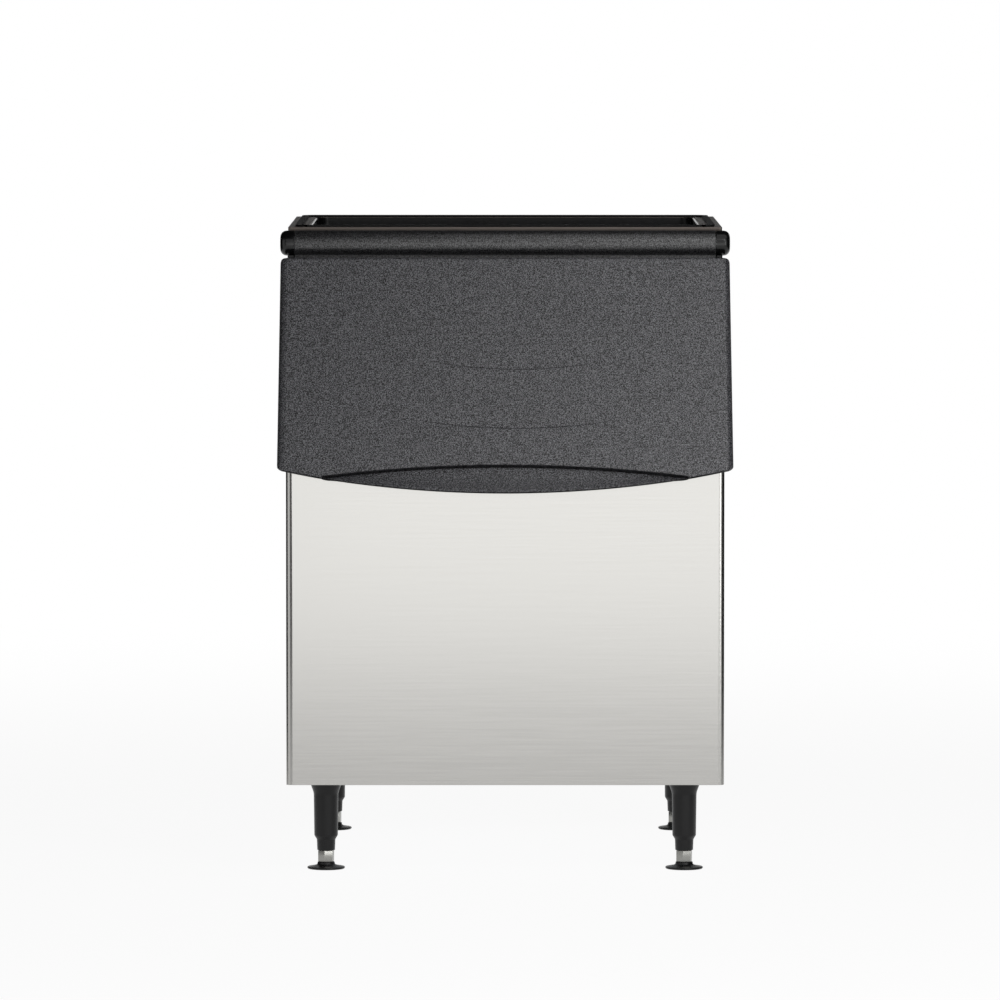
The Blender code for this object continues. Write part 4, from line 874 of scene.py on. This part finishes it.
# %% [markdown]
# ## The door's shell
#
# The shell is one moulding: a face with rounded sides that lap the cabinet, a curved lower edge, and a
# chin that steps in under a shallow arc, hollows and flares out to a lip for the hand. It could be
# sculpted from a box, but its shape follows simple rules from top to bottom, so it is lofted: a
# section is drawn at each place across the door and the sections are bridged. The sections stand close
# together at the rounded sides and at the ends of the chin. A drop is how far down the door something
# lies from the hinge line, and STANDOFF is how far the face stands out from it.

# %% The door's rules
DOOR_TOP_WIDTH = 786 * MM
DOOR_WIDTH = 791 * MM
DOOR_TOP = 35 * MM
CORNER_DROP = 437 * MM
CENTRE_DROP = 484 * MM
STANDOFF = 20 * MM
DOOR_SKIN = 3.5 * MM
SIDE_RADIUS = 14 * MM
TOP_RADIUS = 6 * MM
UPPER_CORNER = 5 * MM
LOWER_CORNER = 12 * MM
LIP_RADIUS = 4.5 * MM
ARC_DROP = 428.5 * MM
ARC_RISE = 21.5 * MM
ARC_HALF = 320 * MM
NOSE_END = 321 * MM
NOSE_RUN = 13 * MM
CHIN_STEP = 7.2 * MM
CHIN_RUN = 0.6 * MM
CHIN_FLARE = 8 * MM
CHIN_LEAST = 12 * MM
CHIN_FADE = 8.5 * MM
CHIN_CURVE = 1.5
door_half = DOOR_WIDTH / 2


def fall(distance, radius):
    """How far a rounded edge has fallen away, this far in from where it ends."""
    inside = max(0.0, radius - distance)
    return radius - math.sqrt(radius**2 - inside**2)


def bottom_at(x):
    """How far down the door its curved lower edge lies."""
    return CENTRE_DROP - (CENTRE_DROP - CORNER_DROP) * (x / door_half) ** 2


def arc_at(x):
    """How far down the door the chin's arc lies; its ends hook round to the lower edge."""
    base = ARC_DROP + ARC_RISE * (x / ARC_HALF) ** 2
    into_nose = min(1.0, max(0.0, (abs(x) - NOSE_END + NOSE_RUN) / NOSE_RUN))
    nose = bottom_at(NOSE_END) - ARC_DROP - ARC_RISE * (NOSE_END / ARC_HALF) ** 2
    return base + nose * (1 - math.sqrt(1 - into_nose**2))


def smooth(share):
    """A step with soft ends, from 0 to 1."""
    share = min(1.0, max(0.0, share))
    return share * share * (3 - 2 * share)


full_chin = bottom_at(0) - arc_at(0)
print(f"the chin is {full_chin / MM:.1f} mm high in the middle")

# %% [markdown]
# The face also has two faint arcs, one above the other. They are fine grooves, left where the mould's
# insert ends. The sections below dip there. The finish paints shade along each groove, in the corner
# under the chin's arc and under the lip: darker colour and less sheen along all four lines.
# Each is a parabola down the door, so the finish can follow it by a formula.

# %% Where shade is painted on the door
FAINT_MIDDLE = 20 * MM
FAINT_WIDTH = 3.6 * MM
FAINT_DEPTH = 0.4 * MM
FAINT_FADE = 0.3
FAINT_SHADE_STRENGTH = 0.6
CHIN_SHADE_DROP = 1.4 * MM
CHIN_SHADE_WIDTH = 7 * MM
CHIN_SHADE_FADE = 0.97
CHIN_SHADE_STRENGTH = 0.85
LIP_SHADE_WIDTH = 7 * MM
LIP_SHADE_FADE = 0.9
LIP_SHADE_STRENGTH = 0.9
# Lowest drop, rise towards the ends and half length of each groove.
FAINT_LINES = [(249 * MM, 17 * MM, 160 * MM), (360 * MM, 20 * MM, 200 * MM)]
# The same after the middle's place across, then width, where the fade starts, and how strong the
# painted shade is.
PAINTED_SHADE_LINES = [
    (FAINT_MIDDLE, *line, FAINT_WIDTH, FAINT_FADE, FAINT_SHADE_STRENGTH) for line in FAINT_LINES
] + [
    (0.0, ARC_DROP + CHIN_SHADE_DROP, -ARC_RISE, ARC_HALF,
     CHIN_SHADE_WIDTH, CHIN_SHADE_FADE, CHIN_SHADE_STRENGTH),
    (0.0, CENTRE_DROP, CENTRE_DROP - CORNER_DROP, door_half,
     LIP_SHADE_WIDTH, LIP_SHADE_FADE, LIP_SHADE_STRENGTH),
]
print("faint arcs at", [round(line[0] / MM) for line in FAINT_LINES], "mm down the door")

# %% Painted shade lines in the door's finish
def painted_shade_line(tree, across, down, middle, lowest, rise, half, width, fade_from):
    """How close a point lies to one line, from 0 to 1; the line fades out at its ends."""
    along = add(tree, "ShaderNodeMath", {0: across, 1: middle}, operation="SUBTRACT")
    share = add(tree, "ShaderNodeMath", {0: along.outputs[0], 1: half}, operation="DIVIDE")
    square = add(tree, "ShaderNodeMath", {
        0: share.outputs[0], 1: share.outputs[0],
    }, operation="MULTIPLY")
    line = add(tree, "ShaderNodeMath", {
        0: square.outputs[0], 1: -rise, 2: lowest,
    }, operation="MULTIPLY_ADD")
    below = add(tree, "ShaderNodeMath", {0: down, 1: line.outputs[0]}, operation="SUBTRACT")
    away = add(tree, "ShaderNodeMath", {0: below.outputs[0]}, operation="ABSOLUTE")
    near = add(tree, "ShaderNodeMapRange", {
        "Value": away.outputs[0], "From Max": width / 2, "To Min": 1.0, "To Max": 0.0,
    }, interpolation_type="SMOOTHSTEP")
    fade = add(tree, "ShaderNodeMapRange", {
        "Value": square.outputs[0], "From Min": fade_from, "To Min": 1.0, "To Max": 0.0,
    })
    return add(tree, "ShaderNodeMath", {
        0: near.outputs["Result"], 1: fade.outputs["Result"],
    }, operation="MULTIPLY").outputs[0]


def darkened_by_shade(tree, keep, near, shade_strength):
    """Lowers a running share of the grain's colour and sheen along a line: painted shade."""
    left = add(tree, "ShaderNodeMath", {0: near, 1: -shade_strength, 2: 1.0}, operation="MULTIPLY_ADD")
    kept = add(tree, "ShaderNodeMath", {0: keep, 1: left.outputs[0]}, operation="MULTIPLY")
    return kept.outputs[0]


tree = door_plastic.node_tree
shader = tree.nodes["Principled BSDF"]
grain_and_glint_tone = shader.inputs["Base Color"].links[0].from_socket
grain_polish = shader.inputs["Specular IOR Level"].links[0].from_socket
place = add(tree, "ShaderNodeTexCoord").outputs["Object"]
from_hinge = add(tree, "ShaderNodeVectorMath", {
    0: place, 1: Vector((0, hinge_y, hinge_z)),
}, operation="SUBTRACT")
down_door = add(tree, "ShaderNodeVectorMath", {
    0: from_hinge.outputs["Vector"], 1: slope_down,
}, operation="DOT_PRODUCT").outputs["Value"]
across_door = add(tree, "ShaderNodeSeparateXYZ", {0: place}).outputs["X"]
left = 1.0
for *line, shade_strength in PAINTED_SHADE_LINES:
    near = painted_shade_line(tree, across_door, down_door, *line)
    left = darkened_by_shade(tree, left, near, shade_strength)
# The lines darken the grain's colour and lower its sheen: painted shade.
shaded_polish = add(tree, "ShaderNodeMath", {0: grain_polish, 1: left}, operation="MULTIPLY")
shaded_tone = add(tree, "ShaderNodeVectorMath", {0: grain_and_glint_tone, "Scale": left}, operation="SCALE")
fill(tree, shader, {
    "Specular IOR Level": shaded_polish.outputs[0], "Base Color": shaded_tone.outputs["Vector"],
})
print("the door's finish has", len(PAINTED_SHADE_LINES), "dull lines")

# %% [markdown]
# A section runs from the back of the upper wall round on to the face, down through the two grooves,
# in at the chin's arc, out to the lip and to the back of the lower wall. All sections have the same
# number of points, so that they bridge without a twist, closest where the surface turns fastest.

# %% The section's back edges and its chin
SPLIT_SIDE = half_width + 5 * MM
PANEL_BACK = -6.5 * MM
SKIRT_BACK = -24 * MM
APPROACH_ROWS = 4
STEP_ROWS = 8
HOLLOW_ROWS = 16
LIP_ROWS = 8
tongue_end = barrel_half + SEAT_GAP


def back_edges(x):
    """Where the upper and lower walls end: over the bar's tongue, the panel or the cabinet."""
    if abs(x) > SPLIT_SIDE:
        return SKIRT_BACK, SKIRT_BACK
    return (TONGUE_TOP + SEAT_GAP if abs(x) < tongue_end else PANEL_BACK), PANEL_BACK


def steps(start, end, count):
    """Even places after start, the last of them at end."""
    return [start + (end - start) * step / count for step in range(1, count + 1)]


def chin_relief(height, into):
    """How far the surface stands out of the face, this far below the chin's arc."""
    if height <= 0 or into <= 0:
        return 0.0
    depth = CHIN_STEP * smooth(height / CHIN_FADE)
    flare = CHIN_FLARE * min(1.0, height / full_chin)
    run = min(CHIN_RUN, height / 4)
    rise = min(1.0, max(0.0, into - run) / (height - run))
    return (depth + flare) * rise**CHIN_CURVE - depth * smooth(into / run)


def chin_drops(bottom, height):
    """Where the points of the chin and the lip lie: close together at the arc and at the lip."""
    inside = height if height > 0 else LIP_RADIUS + CHIN_LEAST / 2
    arc = bottom - inside
    run = min(CHIN_RUN, inside / 4)
    above = bottom - max(inside, CHIN_LEAST) - CHIN_RUN
    drops = steps(above, arc, APPROACH_ROWS) + steps(arc, arc + run, STEP_ROWS)
    drops += steps(arc + run, bottom, HOLLOW_ROWS)[:-1]
    for step in range(1, LIP_ROWS):
        angle = math.pi / 2 * step / LIP_ROWS
        drops.append(bottom - min(LIP_RADIUS, inside) * (1 - math.sin(angle)))
    return above, sorted(drops) + [bottom]


print("the chin and the lip take", len(chin_drops(bottom_at(0), full_chin)[1]), "rows")

# %% The whole section
TOP_ROWS = 6
FACE_ROWS = 12
GROOVE_ROWS = 8
LAST_ROWS = 6


def face_points(x, start, end):
    """Points down the face, and how far each is sunk: rows stand close across a faint arc."""
    points, last = [], start
    for lowest, rise, half in FAINT_LINES:
        square = min(1.0, ((x - FAINT_MIDDLE) / half) ** 2)
        depth = FAINT_DEPTH * min(1.0, (1 - square) / (1 - FAINT_FADE))
        edge = lowest - rise * square - FAINT_WIDTH / 2
        points += [(drop, 0.0) for drop in steps(last, edge, FACE_ROWS)]
        for step in range(1, GROOVE_ROWS + 1):
            sunk = depth * smooth(1 - abs(2 * step / GROOVE_ROWS - 1))
            points.append((edge + FAINT_WIDTH * step / GROOVE_ROWS, sunk))
        last = edge + FAINT_WIDTH
    return points + [(drop, 0.0) for drop in steps(last, end, LAST_ROWS)]


def door_section(x, back_top, back_bottom):
    """The shell's section at one place across, as points on the lying door."""
    share = x / door_half
    from_side = door_half - abs(x)
    face = STANDOFF - fall(from_side, SIDE_RADIUS)
    top = DOOR_TOP + fall(from_side, UPPER_CORNER)
    bottom = bottom_at(x) - fall(from_side, LOWER_CORNER)
    height = bottom - arc_at(x) if abs(x) < NOSE_END else 0.0
    points = [(top, back_top)]
    for step in range(TOP_ROWS + 1):
        angle = math.pi / 2 * step / TOP_ROWS
        drop = top + TOP_RADIUS * (1 - math.cos(angle))
        points.append((drop, face - TOP_RADIUS * (1 - math.sin(angle))))
    above, drops = chin_drops(bottom, height)
    points += [(drop, face - sunk) for drop, sunk in face_points(x, top + TOP_RADIUS, above)]
    for drop in drops:
        relief = chin_relief(height, drop - bottom + height)
        points.append((drop, face + relief - fall(bottom - drop, LIP_RADIUS)))
    lip_out = points[-1][1]
    points.append((bottom - (lip_out - back_bottom) * math.tan(DOOR_SLOPE), back_bottom))
    section = []
    for drop, out in points:
        grown = (drop - DOOR_TOP) / (CORNER_DROP - DOOR_TOP)
        half = DOOR_TOP_WIDTH / 2 + (DOOR_WIDTH - DOOR_TOP_WIDTH) / 2 * grown
        section.append((share * half, -drop, out))
    return section


print("a section has", len(door_section(0, *back_edges(0))), "points")

# %% Places across the door
SIDE_ROWS = 12
SIDE_SPACING = 4 * MM
# The walls' ends jump at the split, between sections this share of its place to each side.
WALL_JUMP = 0.0001
# The end of each stretch from the middle outwards, and the spacing in it.
STRETCHES = [
    (280 * MM, 10 * MM), (304 * MM, 3 * MM), (324 * MM, 0.8 * MM), (tongue_end - WELD, 8 * MM),
]
rounded_from = door_half - SIDE_RADIUS


def spread(start, end, spacing):
    """Even places from start up to, but not at, end."""
    count = max(1, round((end - start) / spacing))
    return [start + (end - start) * step / count for step in range(count)]


right = []
start = 0.0
for end, spacing in STRETCHES:
    right += spread(start, end, spacing)
    start = end
right += [tongue_end - WELD, tongue_end + WELD]
right += spread(tongue_end + SIDE_SPACING, rounded_from, SIDE_SPACING)
for step in range(SIDE_ROWS):
    right.append(rounded_from + SIDE_RADIUS * math.sin(math.pi / 2 * step / SIDE_ROWS))
right += [SPLIT_SIDE * (1 - WALL_JUMP), SPLIT_SIDE * (1 + WALL_JUMP), door_half]
right.sort()
places = [-x for x in reversed(right[1:])] + right
print(len(places), "sections across the door")

# %% Loft the shell
DOOR_CRISP = math.radians(50)
shell = bmesh.new()
chains = []
for x in places:
    verts = [shell.verts.new(point) for point in door_section(x, *back_edges(x))]
    chains.append((verts, [shell.edges.new(pair) for pair in zip(verts, verts[1:])]))
for (_, near), (_, far) in zip(chains, chains[1:]):
    bmesh.ops.bridge_loops(shell, edges=near + far)
for verts, edges in (chains[0], chains[-1]):
    closing = shell.edges.new((verts[-1], verts[0]))
    bmesh.ops.edgeloop_fill(shell, edges=edges + [closing])
put(shell, stand_door)
door_shell = seat(
    "door_shell", shell, door_plastic, ["door_outer_skin"], DOOR_CRISP,
)
thicken(door_shell, DOOR_SKIN, even_walls=False)
print("door shell has", len(door_shell.data.polygons), "faces")

# %% [markdown]
# ## What stays as packed
#
# The foam and small hardware are hidden or tiny. They could be drawn anew, but here they keep their
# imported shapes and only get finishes.

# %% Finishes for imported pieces
KEPT = {
    "insulation": foam, "door_insulation": foam, "hinge_bush": white_plastic, "hinge_pin": zinc,
    "drain_fitting": white_plastic, "drain_nut": white_plastic, "drain_washer": rubber,
    "drain_strainer": black_plastic, "leg_nut_plate": zinc, "baffle_stud": zinc,
    "back_screw": zinc, "hinge_screw": zinc,
}
kept = 0
for name, node in frame["nodes"].items():
    for start, finish in KEPT.items():
        if name.startswith(start):
            node.data.materials.clear()
            node.data.materials.append(finish)
            kept += 1
print("kept", kept, "packed pieces")

# %% [markdown]
# ## The studio
#
# The photograph has a white sweep and soft light from all round. The floor is a wide disc that looks
# mostly plain white. Near the bin a small share of it is lit paper, which takes the bin's shadow, and
# further out that fades, so no horizon shows. The sky is white where the camera or a reflection
# looks, and gives only gentle light.

# %% Floor
FLOOR_RADIUS = 90.0
FLOOR_SIDES = 128
PALE_FROM = 1.2
PALE_TO = 5.0
NEAR_WHITE = 0.94


def seen_plainly(tree):
    """1 for what the eye sees straight, mirrored or through glass, and 0 for light on the bin."""
    rays = add(tree, "ShaderNodeLightPath").outputs
    seen = rays["Is Camera Ray"]
    for ray in ("Is Glossy Ray", "Is Transmission Ray"):
        seen = add(tree, "ShaderNodeMath", {0: seen, 1: rays[ray]}, operation="MAXIMUM").outputs[0]
    return seen


disc = bmesh.new()
bmesh.ops.create_circle(disc, cap_ends=True, radius=FLOOR_RADIUS, segments=FLOOR_SIDES)
bmesh.ops.translate(disc, vec=(0, 0, -SEAT_GAP), verts=disc.verts)
floor = in_scene("floor", mesh_from("floor", disc))
paper, tree, surface = start_finish("matt_white_sweep", "F6F6F6", 0.0, 0.9)
place = add(tree, "ShaderNodeTexCoord").outputs["Object"]
distance = add(tree, "ShaderNodeVectorMath", {0: place}, operation="LENGTH")
fade = add(tree, "ShaderNodeMapRange", {
    "Value": distance.outputs["Value"], "To Min": NEAR_WHITE,
    "From Min": PALE_FROM, "From Max": PALE_TO,
}, interpolation_type="SMOOTHSTEP")
share = add(tree, "ShaderNodeMath", {
    0: seen_plainly(tree), 1: fade.outputs["Result"],
}, operation="MULTIPLY")
white = add(tree, "ShaderNodeEmission", {"Color": (1, 1, 1, 1), "Strength": 1.0})
blend = add(tree, "ShaderNodeMixShader", {
    0: share.outputs[0], 1: surface.outputs[0], 2: white.outputs[0],
})
fill(tree, tree.nodes["Material Output"], {"Surface": blend.outputs[0]})
floor.data.materials.append(paper)
print("floor", FLOOR_RADIUS, "m in radius")

# %% Sky
SKY_LIGHT = 0.18
world = bpy.data.worlds.new("studio")
bpy.context.scene.world = world
world.use_nodes = True
tree = world.node_tree
level = add(tree, "ShaderNodeMapRange", {"Value": seen_plainly(tree), "To Min": SKY_LIGHT})
fill(tree, tree.nodes["Background"], {
    "Color": (1, 1, 1, 1), "Strength": level.outputs["Result"],
})
print("sky lights the bin at", SKY_LIGHT)

# %% [markdown]
# Steel and glossy plastic mirror what stands round them, and an all-white room would wash them out, so
# a photographer sets black cards, called flags, outside the picture. The one above gives the bar and
# the chin their dark bands, and the others draw dark lines down the cabinet's rounded corners.

# %% Black flags
def flag(name, width, height, centre, turn):
    """A card that the camera doesn't see, which gives glossy edges something darker to show."""
    bm = bmesh.new()
    bmesh.ops.create_grid(bm, x_segments=1, y_segments=1, size=0.5)
    bmesh.ops.scale(bm, vec=(width, height, 1), verts=bm.verts)
    put(bm, Matrix.Translation(centre) @ turn)
    card = in_scene(name, mesh_from(name, bm))
    card.visible_camera = False
    card.data.materials.append(black_cloth)


black_cloth = start_finish("black_flag_cloth", "0A0A0A", 0.0, 0.9)[0]
flat = Matrix.Identity(4)
upright = Matrix.Rotation(math.pi / 2, 4, "Y")
angled = Matrix.Rotation(math.radians(-66), 4, "Z") @ upright
FLAGS = [
    ("flag_above", 5.0, 7.6, (0, 2.1, 2.3), flat),
    ("flag_left", 3.0, 3.6, (-2.0, 1.2, 1.5), upright),
    ("flag_right", 3.0, 4.5, (2.3, 0.65, 1.5), upright),
    ("flag_strip", 3.0, 1.1, (-1.55, -3.0, 1.5), angled),
]
for name, width, height, centre, turn in FLAGS:
    flag(name, width, height, centre, turn)
print(len(FLAGS), "flags")

# %% [markdown]
# The photograph has broad, even sheens, which large soft lamps give; small ones would give hot spots.
# The front lamp lights the steel, the side and high lamps light the door and the bar from the right,
# and the top lamp shines down the door and leaves the shadow under the chin's arc.

# %% Lamps
def softbox(name, centre, target, width, height, power):
    """A rectangular lamp that faces a point; sizes are in metres, power in watts."""
    lamp = bpy.data.lights.new(name, "AREA")
    lamp.shape = "RECTANGLE"
    lamp.size = width
    lamp.size_y = height
    lamp.energy = power
    holder = in_scene(name, lamp)
    holder.location = centre
    facing = (Vector(target) - Vector(centre)).to_track_quat("-Z", "Y")
    holder.rotation_euler = facing.to_euler()


LAMPS = [
    ("front_lamp", (0.28, -3.2, 0.67), (0.28, -0.35, 0.67), 2.1, 1.26, 9.3),
    ("side_lamp", (1.9, -2.9, 1.1), (0, -0.35, 0.75), 0.5, 1.9, 14),
    ("high_lamp", (1.3, -2.6, 2.9), (0.2, -0.4, 0.9), 0.8, 1.0, 14),
    ("top_lamp", (0.7, -1.1, 2.28), (0.7, -1.1, 0), 1.8, 1.7, 9.2),
]
for name, centre, target, width, height, power in LAMPS:
    softbox(name, centre, target, width, height, power)
print(len(LAMPS), "soft lamps")

# %% [markdown]
# ## The camera
#
# The photograph was taken from far away with a long lens, a few degrees above the middle of the bin.
# At the cabinet's front one pixel covers 1.736 mm, which sets the lens once the distance is chosen.

# %% The camera
PICTURE_SIDE = 1000
PIXEL = 1.736 * MM
DISTANCE = 14.2
TILT = math.radians(3.8)
SENSOR = 36.0
FARTHEST = 300.0
AIM = Vector((-0.009, front_y, 0.6497))
eye = bpy.data.cameras.new("camera")
eye.sensor_width = SENSOR
eye.lens = SENSOR * DISTANCE / (PICTURE_SIDE * PIXEL)
eye.clip_end = FARTHEST
camera = in_scene("camera", eye)
camera.location = AIM + DISTANCE * Vector((0, -math.cos(TILT), math.sin(TILT)))
camera.rotation_euler = (math.pi / 2 - TILT, 0, 0)
bpy.context.scene.camera = camera
bpy.context.scene.view_settings.view_transform = "Standard"
print(f"lens {eye.lens:.1f} mm at {tuple(round(value, 3) for value in camera.location)}")
